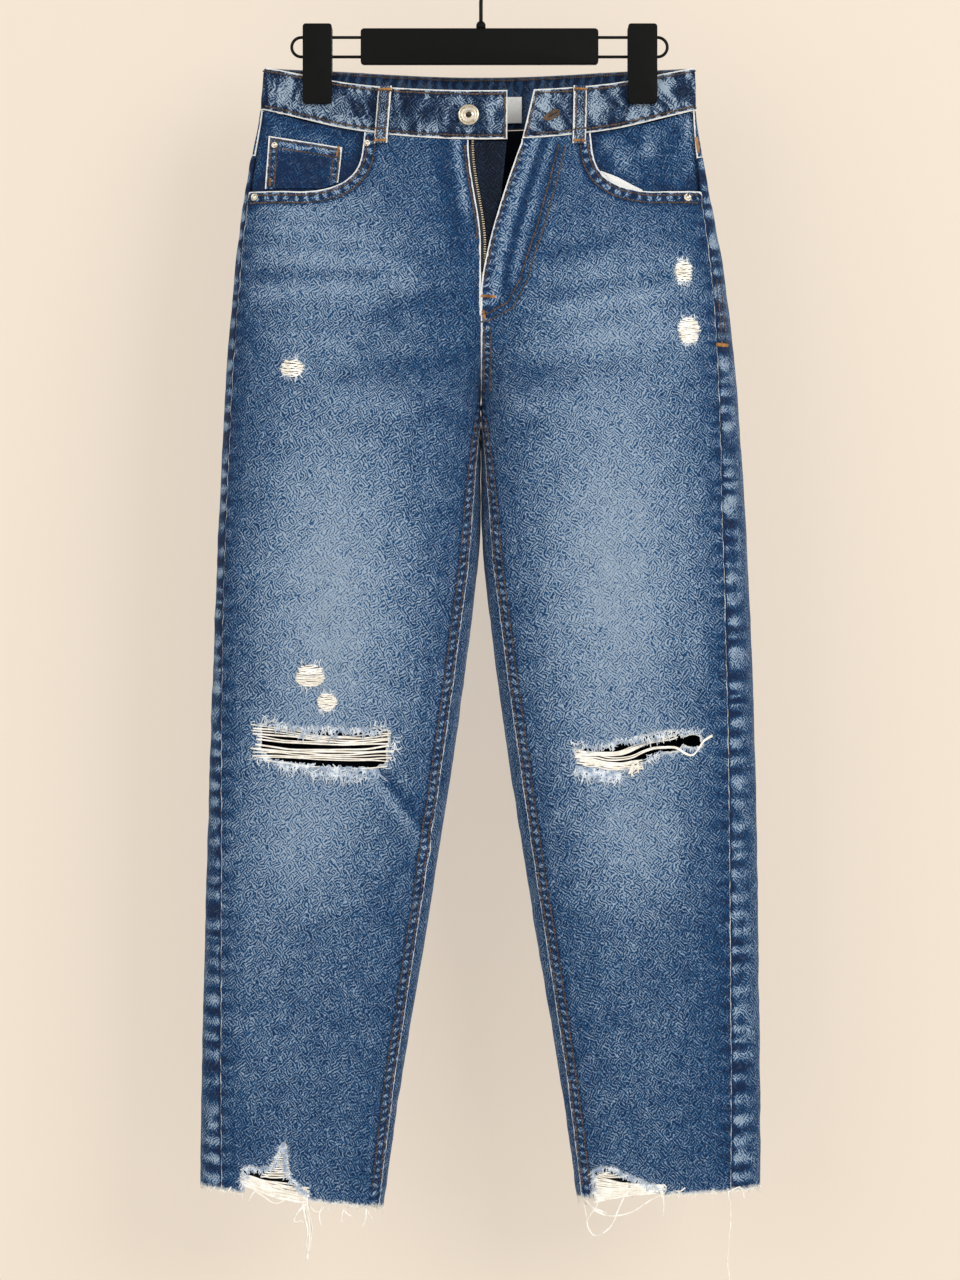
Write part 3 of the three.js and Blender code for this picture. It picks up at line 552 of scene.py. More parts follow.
def nearest(line, x, depth):
    """Distance to a line of points, the nearest point on it, and how far along it that is."""
    line = np.asarray(line, float)
    best = np.full(x.shape, 1e9)
    near = np.zeros(x.shape + (2,))
    run = np.zeros(x.shape)
    start = 0.0
    for a, b in zip(line[:-1], line[1:]):
        step = b - a
        length = math.hypot(*step)
        if length < 1e-9:
            continue
        t = np.clip(((x - a[0]) * step[0] + (depth - a[1]) * step[1]) / length**2, 0, 1)
        px = a[0] + t * step[0]
        pd = a[1] + t * step[1]
        distance = np.hypot(x - px, depth - pd)
        closer = distance < best
        best = np.where(closer, distance, best)
        near[closer] = np.stack([px, pd], -1)[closer]
        run = np.where(closer, start + t * length, run)
        start += length
    return best, near, run


def inside(outline, x, depth):
    """Whether points lie inside a closed outline."""
    hit = np.zeros(x.shape, bool)
    for (x0, d0), (x1, d1) in zip(outline, np.roll(outline, -1, axis=0)):
        crosses = (d0 > depth) != (d1 > depth)
        at = x0 + (depth - d0) / (d1 - d0 if d1 != d0 else 1e-9) * (x1 - x0)
        hit ^= crosses & (x < at)
    return hit


def densified(points, step):
    """The same line with a point every step."""
    points = np.asarray(points, float)
    run = np.concatenate([[0], np.cumsum(np.hypot(*np.diff(points, axis=0).T))])
    at = np.linspace(0, run[-1], max(2, int(run[-1] / step)))
    return np.stack([np.interp(at, run, points[:, 0]), np.interp(at, run, points[:, 1])], -1)


def closed(outline):
    return np.concatenate([outline, outline[:1]])


def ragged(points, rough, seed):
    """A closed outline with a torn, uneven edge."""
    line = densified([*points, points[0]], 1.1)
    step = unit(np.gradient(line, axis=0))
    normal = np.stack([step[:, 1], -step[:, 0]], -1)
    run = np.arange(len(line)) * 1.1
    wave = lumps(run, run * 0, 4.5, seed) + 0.5 * lumps(run, run * 0 + 9, 1.7, seed)
    return line + normal * (rough * wave)[:, None]


def make_mesh(name, points, faces, material, fields=None, sharp=50):
    """A mesh object of points in millimetres, with one value per point for each field. Unused points go."""
    used, renumbered = np.unique(np.concatenate([np.ravel(f) for f in faces]), return_inverse=True)
    sizes = [f.shape for f in map(np.asarray, faces)]
    numbered = []
    start = 0
    for count, corners in sizes:
        numbered += renumbered[start : start + count * corners].reshape(count, corners).tolist()
        start += count * corners
    mesh = bpy.data.meshes.new(name)
    mesh.from_pydata((points[used] * MM).tolist(), [], numbered)
    for key, values in (fields or {}).items():
        values = np.asarray(values, np.float32)[used]
        kind, slot = ("FLOAT_VECTOR", "vector") if values.ndim == 2 else ("FLOAT", "value")
        mesh.attributes.new(key, kind, "POINT").data.foreach_set(slot, values.ravel())
    mesh.shade_smooth()
    if sharp:
        mesh.set_sharp_from_angle(angle=math.radians(sharp))
    mesh.materials.append(material)
    made = bpy.data.objects.new(name, mesh)
    bpy.context.scene.collection.objects.link(made)
    return made


def shell(name, outer, inner, fields, material, kept=None):
    """A closed wall from an outer and an inner grid of points: its kept cells, with rims round every edge."""
    rows, columns = outer.shape[:2]
    count = rows * columns
    index = np.arange(count).reshape(rows, columns)
    quads = np.stack([index[:-1, :-1], index[1:, :-1], index[1:, 1:], index[:-1, 1:]], -1)
    quads = quads.reshape(-1, 4) if kept is None else quads[kept]
    points = np.concatenate([outer.reshape(-1, 3), inner.reshape(-1, 3)])
    a, b, c, d = (points[quads[:, k]] for k in range(4))
    facing = (np.cross(c - a, d - b) * (a - points[quads[:, 0] + count])).sum()
    if facing < 0:
        quads = quads[:, ::-1]
    edges = np.concatenate([quads[:, [k, (k + 1) % 4]] for k in range(4)])
    key = edges.min(1) * (2 * count) + edges.max(1)
    _, first, uses = np.unique(key, return_index=True, return_counts=True)
    border = edges[first[uses == 1]]
    rims = np.stack([border[:, 1], border[:, 0], border[:, 0] + count, border[:, 1] + count], -1)
    faces = np.concatenate([quads, quads[:, ::-1] + count, rims])
    both = {}
    for key, values in fields.items():
        flat = np.asarray(values, float).reshape(count, *np.shape(values)[2:])
        both[key] = np.concatenate([flat, flat])
    both["inner"] = np.concatenate([np.zeros(count), np.ones(count)])
    return make_mesh(name, points, [faces], material, both)


def run_lengths(points):
    """How far each point of a grid is along its row and down its column."""
    across = np.linalg.norm(np.diff(points, axis=1), axis=-1)
    down = np.linalg.norm(np.diff(points, axis=0), axis=-1)
    s = np.concatenate([np.zeros((points.shape[0], 1)), np.cumsum(across, 1)], 1)
    t = np.concatenate([np.zeros((1, points.shape[1])), np.cumsum(down, 0)], 0)
    return s, t


def bell(distance, width):
    return np.exp(-((distance / width) ** 2))


POCKET_CORNER = {RIGHT: 98, LEFT: 92}


def bezier(p0, p1, p2, p3, count):
    t = np.linspace(0, 1, count)[:, None]
    p0, p1, p2, p3 = (np.array(p, float) for p in (p0, p1, p2, p3))
    return (1 - t) ** 3 * p0 + 3 * (1 - t) ** 2 * t * p1 + 3 * (1 - t) * t**2 * p2 + t**3 * p3


def mouth_curve(side, count=24):
    x = POCKET_CORNER[side]
    return bezier((x + 1, 70), (x + 3, 92), (x + 14, 106), (x + 52, 107.5), count)


def mouth_line(side):
    """The visible edge of the pocket's mouth, from the waistband to the side seam."""
    x = POCKET_CORNER[side]
    return np.concatenate([[(x - 0.5, 50), (x, 60)], mouth_curve(side), [(230, 105)]])


KNEE_HOLE = {
    RIGHT: [
        (78, 560), (92, 557), (110, 561), (128, 556), (144, 560), (160, 557), (174, 552), (183, 556),
        (184, 572), (176, 582), (150, 586), (120, 590), (96, 590), (79, 587),
    ],
    LEFT: [
        (79, 576), (92, 573), (104, 573), (114, 568), (126, 569), (138, 563), (152, 560), (163, 560),
        (170, 568), (166, 574), (148, 577), (136, 584), (124, 590), (104, 589), (84, 584),
    ],
}
SMALL_HOLE = [(167, 565), (175, 562), (183, 564), (184, 570), (176, 573), (169, 571)]
HEM_NOTCH = {
    RIGHT: [
        (199, 990), (199, 928), (192, 925), (184, 927), (177, 926), (170, 914), (165, 905), (163, 932),
        (152, 942), (147, 946), (147, 990),
    ],
    LEFT: [(95, 990), (95, 930), (101, 926), (112, 927), (120, 932), (134, 937), (150, 943), (150, 990)],
}
# Places worn through to the weft: x, depth, half width, half height.
WORN_SPOT = {
    RIGHT: [(157, 256.5, 9, 7), (142.5, 512.5, 11, 9.5), (128.5, 534.5, 7, 7)],
    LEFT: [(169, 175.5, 6.5, 9), (173, 225, 8, 11)],
}
# Rubbed areas of the front: x, depth, half width, half height, amount.
FADED = {
    RIGHT: [
        (125, 450, 66, 170, 1.24), (150, 648, 46, 60, 0.6), (135, 175, 75, 60, 0.5),
        (150, 125, 60, 26, 0.35), (130, 830, 70, 110, 0.12), (205, 740, 40, 150, 0.4),
    ],
    LEFT: [
        (110, 430, 62, 175, 1.26), (130, 650, 46, 62, 0.72), (125, 205, 75, 60, 0.45),
        (130, 830, 60, 110, 0.15), (185, 420, 30, 190, 0.2),
    ],
}
# Whiskers pressed in across the hips, and the painted highlight and shade of the right knee's crease:
# x, depth, x, depth, width, amount.
WHISKERS_AND_CREASE_SHADE = {
    RIGHT: [
        (185, 160, 60, 172, 7, 0.32), (190, 196, 60, 186, 7, 0.3), (170, 140, 90, 148, 6, 0.22),
        (30, 196, 90, 214, 8, -0.3), (185, 178, 90, 180, 6, -0.3), (20, 250, 110, 262, 9, -0.22),
        (120, 238, 170, 228, 8, 0.2), (92, 596, 42, 662, 5, 0.55), (84, 592, 33, 657, 5, -0.5),
        (60, 290, 120, 280, 9, 0.18), (180, 118, 130, 128, 5, 0.22),
    ],
    LEFT: [
        (60, 210, 150, 196, 7, 0.28), (40, 240, 150, 226, 8, 0.26), (70, 182, 160, 168, 6, 0.2),
        (40, 262, 130, 258, 8, -0.24), (60, 196, 150, 182, 6, -0.26), (30, 285, 120, 292, 9, 0.2),
        (50, 160, 120, 150, 7, -0.2),
    ],
}
COLUMN_STEP = {"front": 2.1, "back": 4.0}
ROW_STEP = {"front": 3.0, "back": 3.6}


def fly_stitch(offset=0.0):
    """The curved row of stitches that holds the left fly, in x and depth."""
    bend = [(65, 68), (57, 100), (47, 137), (38, 164), (32, 184), (22, 202), (8, 210), (0.5, 212)]
    line = np.array(bend, float)
    line[:, 0] += offset * np.array([1, 1, 1, 1, 1, 0.8, 0.2, 0])
    line[:, 1] += offset * np.array([0, 0, 0, 0, 0.2, 0.7, 1, 1])
    return densified(line, 1.5)


def front_fields(side, x, depth, s, t, notch, knee):
    """Colour and relief of a front panel: fields by name, and the height of its surface in millimetres."""
    to_seam = s[:, -1:] - s
    to_inner = s
    to_hem = t[-1:] - t
    mouth, _, mouth_run = nearest(mouth_line(side), x, depth)
    wave = t / PUCKER_PITCH + 0.6 * lumps(t, t * 0, 26, 5 + side)
    pucker = np.sin(2 * math.pi * wave)
    leg = depth > CROTCH
    beside = bell(to_seam, 9) * (depth > 108)
    inseam = bell(to_inner, 11) * leg
    height = 0.45 * pucker * beside
    height += 0.7 * smooth((11.5 - to_inner) / 1.5) * leg + 0.25 * np.sin(2 * math.pi * t / 6.2) * inseam
    height += 0.8 * smooth((10 - mouth) / 1.2) * (depth < 130)
    height += 0.35 * lumps(s, t, 17, 11) + 0.2 * lumps(s, t, 7, 12)
    fade = np.full(x.shape, -0.3)
    for fx, fd, half_wide, half_high, amount in FADED[side]:
        fade += amount * np.exp(-(((x - fx) / half_wide) ** 2) - ((depth - fd) / half_high) ** 2)
    # Whisker wear, and the right knee crease's painted highlight and shade.
    fade += line_hill(WHISKERS_AND_CREASE_SHADE[side], x, depth)
    height += 2.2 * line_hill(WHISKERS_AND_CREASE_SHADE[side], x, depth)
    fade -= 0.5 * np.exp(-to_seam / 24) + 0.35 * np.exp(-to_inner / 22)
    fade -= (1.1 * np.maximum(0, pucker) - 0.25) * beside
    # Lighter along the inseam, with painted shadow in dark lines along its two stitch rows.
    fade += 0.25 * inseam - leg * (1.1 * bell(to_inner - 3.4, 1.3) + 0.8 * bell(to_inner - 10, 1.6))
    ladder = smooth((11.5 - to_inner) / 1) * leg
    run = t
    if side == LEFT:
        stitch, _, _ = nearest(fly_stitch(), x, depth)
        flap = (x < np.interp(depth, [68, 184, 212, 213], [66, 33, 3, 0])) & (depth < 213)
        on_flap = smooth(stitch / 1.5) * flap
        height += 0.5 * on_flap + 0.4 * np.sin(2 * math.pi * t / 14) * bell(to_inner, 7) * flap
        height += 0.5 * bell(to_inner - 13, 5) * flap - 0.6 * bell(to_inner - 21, 4) * flap
        folds = 0.85 * bell(to_inner - 12, 5) - 0.8 * bell(to_inner - 20, 4) + 0.5 * bell(to_inner - 27, 4)
        fade += folds * flap
        # Painted shadow along the fly's curved stitch row.
        fade -= 0.35 * bell(stitch, 5) + 0.6 * bell(stitch, 1.6)
        ladder = np.maximum(ladder, smooth((7 - to_inner) / 1) * flap)
        ladder = np.maximum(ladder, smooth((9 - to_inner) / 1) * (depth > 205) * (depth < CROTCH))
    else:
        fade += (0.9 * bell(to_inner - 9, 4) - 0.7 * bell(to_inner - 2, 3)) * smooth((150 - depth) / 40)
        fade -= 0.5 * bell(to_inner - 20, 7) * smooth((180 - depth) / 30)
        height += 0.5 * np.sin(2 * math.pi * t / 21) * bell(to_inner, 12) * (depth < 160)
    in_band = smooth((10 - mouth) / 1) * (depth < 130)
    ladder = np.maximum(ladder, 1.5 * in_band)
    run = np.where(in_band > 0.3, mouth_run * 0.85, run)
    # Painted shadow in dark lines along the pocket mouth's two stitch rows, and a little over the band
    # between them.
    rows = 1.1 * bell(mouth - 2.8, 1.2) + 1.2 * bell(mouth - 9.6, 1.5)
    fade -= (0.15 + rows) * (mouth < 13) * (depth < 130)
    centre_rubs = (side == LEFT) | (depth < FLY_END_LEFT + 25) | leg
    edge = np.minimum(to_seam + 0.8, np.where(centre_rubs, to_inner + 0.6 * leg, FAR))
    edge = np.minimum(edge, np.where(depth < 130, mouth, FAR))
    torn = np.minimum(to_hem, np.minimum(notch, knee))
    height += 0.9 * np.exp(-knee / 3) * lumps(s, t, 5, 21)
    for wx, wd, half_wide, half_high in WORN_SPOT[side]:
        away = (np.hypot((x - wx) / half_wide, (depth - wd) / half_high) - 0.95) * half_wide
        torn = np.minimum(torn, np.abs(away) * 1.6)
        # Painted shade: inside each worn spot the cloth is deep blue, for the dark seen between the bare weft
        # threads drawn over it.
        fade -= 2.5 * smooth(-away / 2)
    fade += 0.3 * np.exp(-torn / 7)
    cloth = np.stack([s - s[:, -1:] / 2, -t, np.full(s.shape, 40.0 * side)], -1)
    fields = {"fade": fade, "edge": edge, "torn": torn, "ladder": ladder, "run": run, "cloth": cloth}
    return fields, height


denim_pieces = []


def declare(piece, nodes, slot):
    """Attaches a piece to the root, hides the parts it stands for, and keeps it with the denim pieces if its
    slot is denim.
    """
    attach(piece, "root")
    if slot == "denim":
        denim_pieces.append(piece)
    if nodes:
        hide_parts(*nodes)


def to_hem(side):
    return lambda x, angle, depth: hem_at(side, x, depth)


leg_pieces = {}
for side in (RIGHT, LEFT):
    name = SIDE_NAME[side]
    # The front, with its pocket's mouth and its tears cut out.
    across = spaced(228, COLUMN_STEP["front"])
    down = spaced(890, ROW_STEP["front"], [(485, 535, 1.3), (865, 890, 1.3)])
    angle, depth = panel_grid(
        side, across, down, (front_inner_angle, front_seam_angle),
        lambda x, angle: front_band_bottom(x) + BAND_GAP, to_hem(side), 400,
    )
    depth[-1] += 1.2 * lumps(np.arange(len(across)) * 2.1, np.zeros(len(across)), 3.2, 31 + side)
    x = np.abs(form_point(side, angle, depth)[..., 0])
    mouth_cut = np.concatenate([mouth_line(side), [(230, 20), (POCKET_CORNER[side], 20)]])
    cuts = [
        (mouth_cut, 2.0),
        (ragged(KNEE_HOLE[side], 1.3, 41 + side), 1.35),
        (ragged(HEM_NOTCH[side], 1.3, 51 + side), 1.5),
    ]
    if side == LEFT:
        cuts.append((ragged(SMALL_HOLE, 0.8, 61), 1.35))
    for outline, reach in cuts:
        distance, near, _ = nearest(closed(outline), x, depth)
        touched = distance < reach
        touched[:, [0, -1]] = False
        x = np.where(touched, near[..., 0], x)
        depth = np.where(touched, near[..., 1], depth)
        angle = np.where(touched, angle_at(side, x, depth), angle)
    points = form_point(side, angle, depth)
    s, t = run_lengths(points)
    cell_x = (x[:-1, :-1] + x[1:, :-1] + x[1:, 1:] + x[:-1, 1:]) / 4
    cell_depth = (depth[:-1, :-1] + depth[1:, :-1] + depth[1:, 1:] + depth[:-1, 1:]) / 4
    kept = np.ones(cell_x.shape, bool)
    for outline, _ in cuts:
        kept &= ~inside(outline, cell_x, cell_depth)
    _, knee, notch, *small = (nearest(closed(outline), x, depth)[0] for outline, _ in cuts)
    knee = np.minimum.reduce([knee, *small])
    fields, height = front_fields(side, x, depth, s, t, notch, knee)
    outer = moved(side, angle, depth, height)
    inner = moved(side, angle, depth, height * 0.6 - DENIM)
    leg_pieces["front", side] = shell(f"front_leg_{name}", outer, inner, fields, body_denim, kept)

    # The back, plain of tears.
    across = spaced(330, COLUMN_STEP["back"], [(0, 24, 2.2), (306, 330, 2.2)])
    down = spaced(880, ROW_STEP["back"])
    angle, depth = panel_grid(
        side, across, down, (out_seam_angle, back_inner_angle),
        lambda x, angle: yoke_seam(x) + SEAM_GAP, to_hem(side), 400,
    )
    depth[-1] += 1.2 * lumps(np.arange(len(across)) * 3.0, np.zeros(len(across)), 4.0, 35 + side)
    points = form_point(side, angle, depth)
    x = np.abs(points[..., 0])
    s, t = run_lengths(points)
    to_seam = s
    to_inner = s[:, -1:] - s
    leg = depth > CROTCH
    pucker = np.sin(2 * math.pi * (t / PUCKER_PITCH + 0.4 + 0.6 * lumps(t, t * 0, 26, 5 + side)))
    seat = np.exp(-(((x - 100) / 75) ** 2) - ((depth - 215) / 95) ** 2)
    thigh = np.exp(-(((x - 110) / 65) ** 2) - ((depth - 470) / 150) ** 2)
    calf = np.exp(-(((x - 140) / 60) ** 2) - ((depth - 720) / 120) ** 2)
    back_side = np.sin(angle) < 0
    fade = -0.15 + (0.75 * seat + 0.4 * thigh + 0.3 * calf) * back_side
    honeycomb = [(60, 545, 170, 560, 9, -0.3), (60, 575, 160, 566, 8, 0.25), (70, 600, 170, 610, 9, -0.28),
                 (60, 300, 150, 318, 9, -0.25), (50, 330, 140, 340, 9, 0.22)]
    folds = line_hill(honeycomb, x, depth) * back_side
    fade += folds
    beside = bell(to_seam, 9)
    fade -= 0.4 * np.exp(-to_seam / 22) + 0.2 * bell(to_inner, 14) * leg
    deep = 0.25 + 0.75 * smooth(lumps(t, t * 0, 21, 9 + side) + 0.6)
    fade += (0.35 + 1.0 * np.maximum(0, -pucker) - 2.3 * deep * np.maximum(0, pucker)) * bell(to_seam - 2, 13)
    fade += 0.9 * lumps(s, t * 1.3, 9, 17) * bell(to_seam - 6, 14)
    # Painted shadow: a dark line right at the side seam, where its gap falls in shade.
    fade -= 2.2 * bell(to_seam, 1.5)
    height = 0.45 * pucker * (beside + bell(to_inner, 9)) + 2.5 * folds
    height += 0.35 * lumps(s, t, 17, 13) + 0.2 * lumps(s, t, 7, 14)
    fields = {
        "fade": fade,
        "edge": np.where(leg, FAR, to_inner),
        "torn": t[-1:] - t,
        "ladder": smooth((9 - to_inner) / 1) * ~leg,
        "run": t,
        "cloth": np.stack([s - s[:, -1:] / 2, -t, np.full(s.shape, 90.0 * side)], -1),
    }
    outer = moved(side, angle, depth, height)
    inner = moved(side, angle, depth, height * 0.6 - DENIM)
    leg_pieces["back", side] = shell(f"back_leg_{name}", outer, inner, fields, body_denim)

declare(leg_pieces["front", RIGHT], ["front_panel_right"], "denim")
declare(leg_pieces["front", LEFT], ["front_panel_left"], "denim")
declare(leg_pieces["back", RIGHT], ["back_panel_right"], "denim")
declare(leg_pieces["back", LEFT], ["back_panel_left"], "denim")

# ---- Yokes ----
# The shaped pieces of the same denim that curve the back in to the waist. Each is sewn to its back panel
# below and held by the waistband above.
for side in (RIGHT, LEFT):
    name = SIDE_NAME[side]
    across = spaced(215, 3.2)
    down = spaced(60, 2.6)
    angle, depth = panel_grid(
        side, across, down, (out_seam_angle, back_inner_angle),
        lambda x, angle: back_band_bottom(x) + BAND_GAP, lambda x, angle, depth: yoke_seam(x), 74,
    )
    s, t = run_lengths(form_point(side, angle, depth))
    x = np.abs(form_point(side, angle, depth)[..., 0])
    to_bottom = t[-1:] - t
    pucker = np.sin(2 * math.pi * (s / 11 + 0.3 * lumps(s, t, 25, 71)))
    fade = 0.1 + 0.4 * bell(x - 90, 60) - 0.45 * bell(s, 14)
    fields = {
        "fade": fade - 0.3 * np.maximum(0, pucker) * bell(to_bottom, 6),
        "edge": np.minimum(np.minimum(to_bottom, s), s[:, -1:] - s + 0.4),
        "torn": np.full(s.shape, FAR),
        "ladder": smooth((5 - to_bottom) / 1),
        "run": s,
        "cloth": np.stack([s, -t, np.full(s.shape, 140.0 * side)], -1),
    }
    height = 0.3 * pucker * bell(to_bottom, 6) + 0.3 * lumps(s, t, 15, 72)
    outer = moved(side, angle, depth, height)
    inner = moved(side, angle, depth, height * 0.5 - DENIM)
    yoke = shell(f"back_yoke_{name}", outer, inner, fields, body_denim)
    declare(yoke, [f"yoke_{name}"], "denim")

# ---- Waistband ----
# A folded strip of denim, topstitched along both edges, that runs from the right front end, which carries the
# button, round the back to the left front end with its buttonhole. It gapes because the fly is open.
BAND_THICK = 3.0
BAND_PROUD = 1.0
BAND_END_RIGHT = -22.0
BUTTONHOLE = (59, 43.5)
# Its inside colour too is painted shade, for the dark inside of the band.
waist_denim = denim(
    "waist_denim", (0.002, 0.008, 0.028), (0.017, 0.052, 0.122), (0.28, 0.35, 0.43), (0.004, 0.012, 0.036),
    inner=0.85, pleated=0.85,
)


def band_end_left(depth):
    return lerp(44, 34, (depth - 24) / 42)


def band_top(x, angle):
    return np.where(angle > 0, front_band_top(x), back_band_top(x))


def band_bottom(x, angle, depth=0):
    return np.where(angle > 0, front_band_bottom(x), back_band_bottom(x))


def back_centre(side, depth):
    return np.full(np.shape(depth), -math.pi / 2)


def right_end(side, depth):
    return angle_at(side, np.full(np.shape(depth), BAND_END_RIGHT), depth)


def left_end(side, depth):
    return angle_at(side, band_end_left(depth), depth)


halves = []
for side, end, length in ((RIGHT, right_end, 400), (LEFT, left_end, 340)):
    across = spaced(length, 2.3, [(0, 6, 0.8)])
    down = spaced(41, 2.0, [(0, 3, 0.6), (38, 41, 0.6)])
    angle, depth = panel_grid(side, across, down, (end, back_centre), band_top, band_bottom, 20)
    halves.append((side, angle, depth))
form = np.concatenate([form_point(*halves[0]), form_point(*halves[1])[:, -2::-1]], 1)
s, t = run_lengths(form)
to_bottom = t[-1:] - t
to_end = np.minimum(s, s[:, -1:] - s)
border = np.minimum(np.minimum(t, to_bottom), to_end)
pucker = np.sin(2 * math.pi * (s / 8.6 + 0.5 * lumps(s, t * 0, 22, 81)))
near_row = bell(np.minimum(t, to_bottom) - 4.5, 3.2)
lean = 0.7 * t * lumps(s, t * 0, 45, 88) + 3 * lumps(s, t, 14, 89)
height = 0.28 * pucker * near_row + 0.45 * lumps(s, t, 16, 82) + 0.3 * lumps(s, t, 9, 83)
height -= 0.45 * bell(np.minimum(t, to_bottom) - 2.6, 1.1) + 1.0 * bell(border, 0.9)
# Painted shadow in a dark line along each stitch row.
fields = {
    "fade": -0.2 + 0.6 * lumps(s, t * 0.7, 12, 84) + 1.25 * lumps(s + lean, t * 0.2, 3.8, 86)
    + 0.8 * lumps(s - 0.5 * t, t * 0.5, 5.5, 87)
    - 0.5 * np.maximum(0, pucker) * near_row - 0.9 * bell(np.minimum(t, to_bottom) - 3.6, 1.6),
    "edge": border,
    "torn": np.full(s.shape, FAR),
    "ladder": 0.7 * smooth((8 - np.minimum(t, to_bottom)) / 2),
    "run": s * 0.8,
    "cloth": np.stack([s, -t, np.full(s.shape, 200.0)], -1),
}


def band_layer(out):
    """Both halves of the waistband, moved out of the form by out."""
    middle = halves[0][1].shape[1]
    right = moved(*halves[0], out[:, :middle])
    return np.concatenate([right, moved(*halves[1], out[:, middle - 1 :][:, ::-1])[:, -2::-1]], 1)


waistband = shell(
    "waist_strip", band_layer(BAND_PROUD + height),
    band_layer(BAND_PROUD - BAND_THICK + 0.5 * height + 1.2 * bell(border, 0.9)), fields, waist_denim,
)
declare(waistband, ["waistband"], "denim")


def patch(name, side, front, size, x_at, depth_at, outside, inside, material, look):
    """A wall on one face of the form, over an x and a depth that may change along it (u) and down it (v)."""
    u, v = np.meshgrid(np.linspace(0, 1, size[0]), np.linspace(0, 1, size[1]))
    x = x_at(u, v) + 0 * u
    depth = depth_at(u, v) + 0 * u
    angle = angle_at(side, x, depth, front)
    s, t = run_lengths(form_point(side, angle, depth))
    border = np.minimum(np.minimum(s, s[:, -1:] - s), np.minimum(t, t[-1:] - t))
    fields = {
        "fade": 0 * s, "edge": np.full(s.shape, FAR), "torn": np.full(s.shape, FAR), "ladder": 0 * s,
        "run": t, "cloth": np.stack([s, -t, 0 * s + 300 + 17 * len(name)], -1),
    }
    height, more = look(x, depth, s, t, border)
    fields.update(more)
    outer = moved(side, angle, depth, outside + height)
    return shell(name, outer, moved(side, angle, depth, inside + 0.5 * height), fields, material)


# ---- Fly ----
# The shield sewn to the right front, coloured near black as painted shade behind the open fly, and the open
# zip:
# a woven tape on each side with its row of metal teeth. The slider and its pull rest at the foot, under the
# left front's flap.
TAPE = 1.0
CLEAR = 0.9
UNDER = -DENIM - 0.7
FLY_FOOT = 176.0
TOOTH_REACH = 4.6
TOOTH_WIDE = 3.0
TOOTH_PITCH = 2.1
# Painted shade: all its colours are near black, darker than the body's deepest indigo, for the shade behind
# the open fly.
shaded_shield_denim = denim(
    "shaded_shield_denim", (0.001, 0.002, 0.005), (0.003, 0.006, 0.015), (0.01, 0.02, 0.045), (0.002, 0.003, 0.008),
    (0.02, 0.035, 0.06),
)
shield = patch(
    "fly_shield_cloth", RIGHT, True, (19, 44),
    lambda u, v: lerp(24, lerp(BAND_END_RIGHT, -10, v), u),
    lambda u, v: lerp(front_band_bottom(0) + 0.6, FLY_FOOT, v),
    UNDER - TAPE - SEAM_GAP, UNDER - TAPE - SEAM_GAP - DENIM, shaded_shield_denim,
    lambda x, depth, s, t, border: (0.3 * lumps(s, t, 14, 91), {"fade": 0.4 * lumps(s, t, 16, 92)}),
)
declare(shield, ["fly_shield"], "denim_dark")

tape_cloth, principled = new_material("zip_tape_cloth")
shader = Shader(tape_cloth.node_tree)
texture = shader.node("ShaderNodeTexCoord").outputs["Object"]
weave = shader.node("ShaderNodeTexWave", bands_direction="Z")
shader.put(weave.inputs["Vector"], texture)
weave.inputs["Scale"].default_value = 420
shade = shader.mix(weave.outputs["Fac"], (0.008, 0.009, 0.012, 1), (0.03, 0.032, 0.04, 1))
shader.put(principled.inputs["Base Color"], shade)
principled.inputs["Roughness"].default_value = 0.85
shader.relief(principled, weave.outputs["Fac"], 0.2)


def dress(node, material):
    """Gives a piece that is shown as built its finish."""
    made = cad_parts[node]
    made.data.materials.clear()
    made.data.materials.append(material)


dress("zip_tape_left", tape_cloth)


def aged_metal(name, bright, dull, roughness):
    """Plated metal, bright and dull in soft patches."""
    material, principled = new_material(name)
    shader = Shader(material.node_tree)
    place = shader.node("ShaderNodeTexCoord").outputs["Object"]
    cloud = shader.noise(place, 350, 4.0)
    colour = shader.mix(shader.ramp(cloud, 0.3, 0.7), (*dull, 1), (*bright, 1))
    shader.put(principled.inputs["Base Color"], colour)
    shader.put(principled.inputs["Roughness"], shader.ramp(cloud, 0.2, 0.8, roughness + 0.15, roughness))
    shader.relief(principled, shader.noise(place, 900, 3.0), 0.1, 0.25)
    principled.inputs["Metallic"].default_value = 1.0
    return material


def no_look(x, depth, s, t, border):
    """A plain surface."""
    return 0 * x, {}


tape = patch(
    "zip_tape_front", RIGHT, True, (8, 40),
    lambda u, v: lerp(14, fly_edge(RIGHT, lerp(69, FLY_FOOT, v)) - 3.6, u),
    lambda u, v: lerp(69, FLY_FOOT, v), UNDER, UNDER - TAPE, tape_cloth, no_look,
)
declare(tape, ["zip_tape_right"], "zip_tape")
tooth_metal = aged_metal("tooth_metal", (0.72, 0.62, 0.43), (0.4, 0.33, 0.2), 0.3)
dress("zip_slider", tooth_metal)
dress("zip_pull", tooth_metal)

BLOCK = np.array(
    [(-1, -1, -0.7), (1, -0.7, -0.5), (1, 0.7, -0.5), (-1, 1, -0.7),
     (-1, -1, 0.7), (1, -0.7, 0.5), (1, 0.7, 0.5), (-1, 1, 0.7)]
) / 2
BLOCK_FACES = np.array([(0, 3, 2, 1), (4, 5, 6, 7), (0, 1, 5, 4), (1, 2, 6, 5), (2, 3, 7, 6), (3, 0, 4, 7)])


def framed(points, normals):
    """Unit vectors along a row of points and across it, for each point."""
    along = unit(np.gradient(points, axis=0))
    return along, unit(np.cross(normals, along))


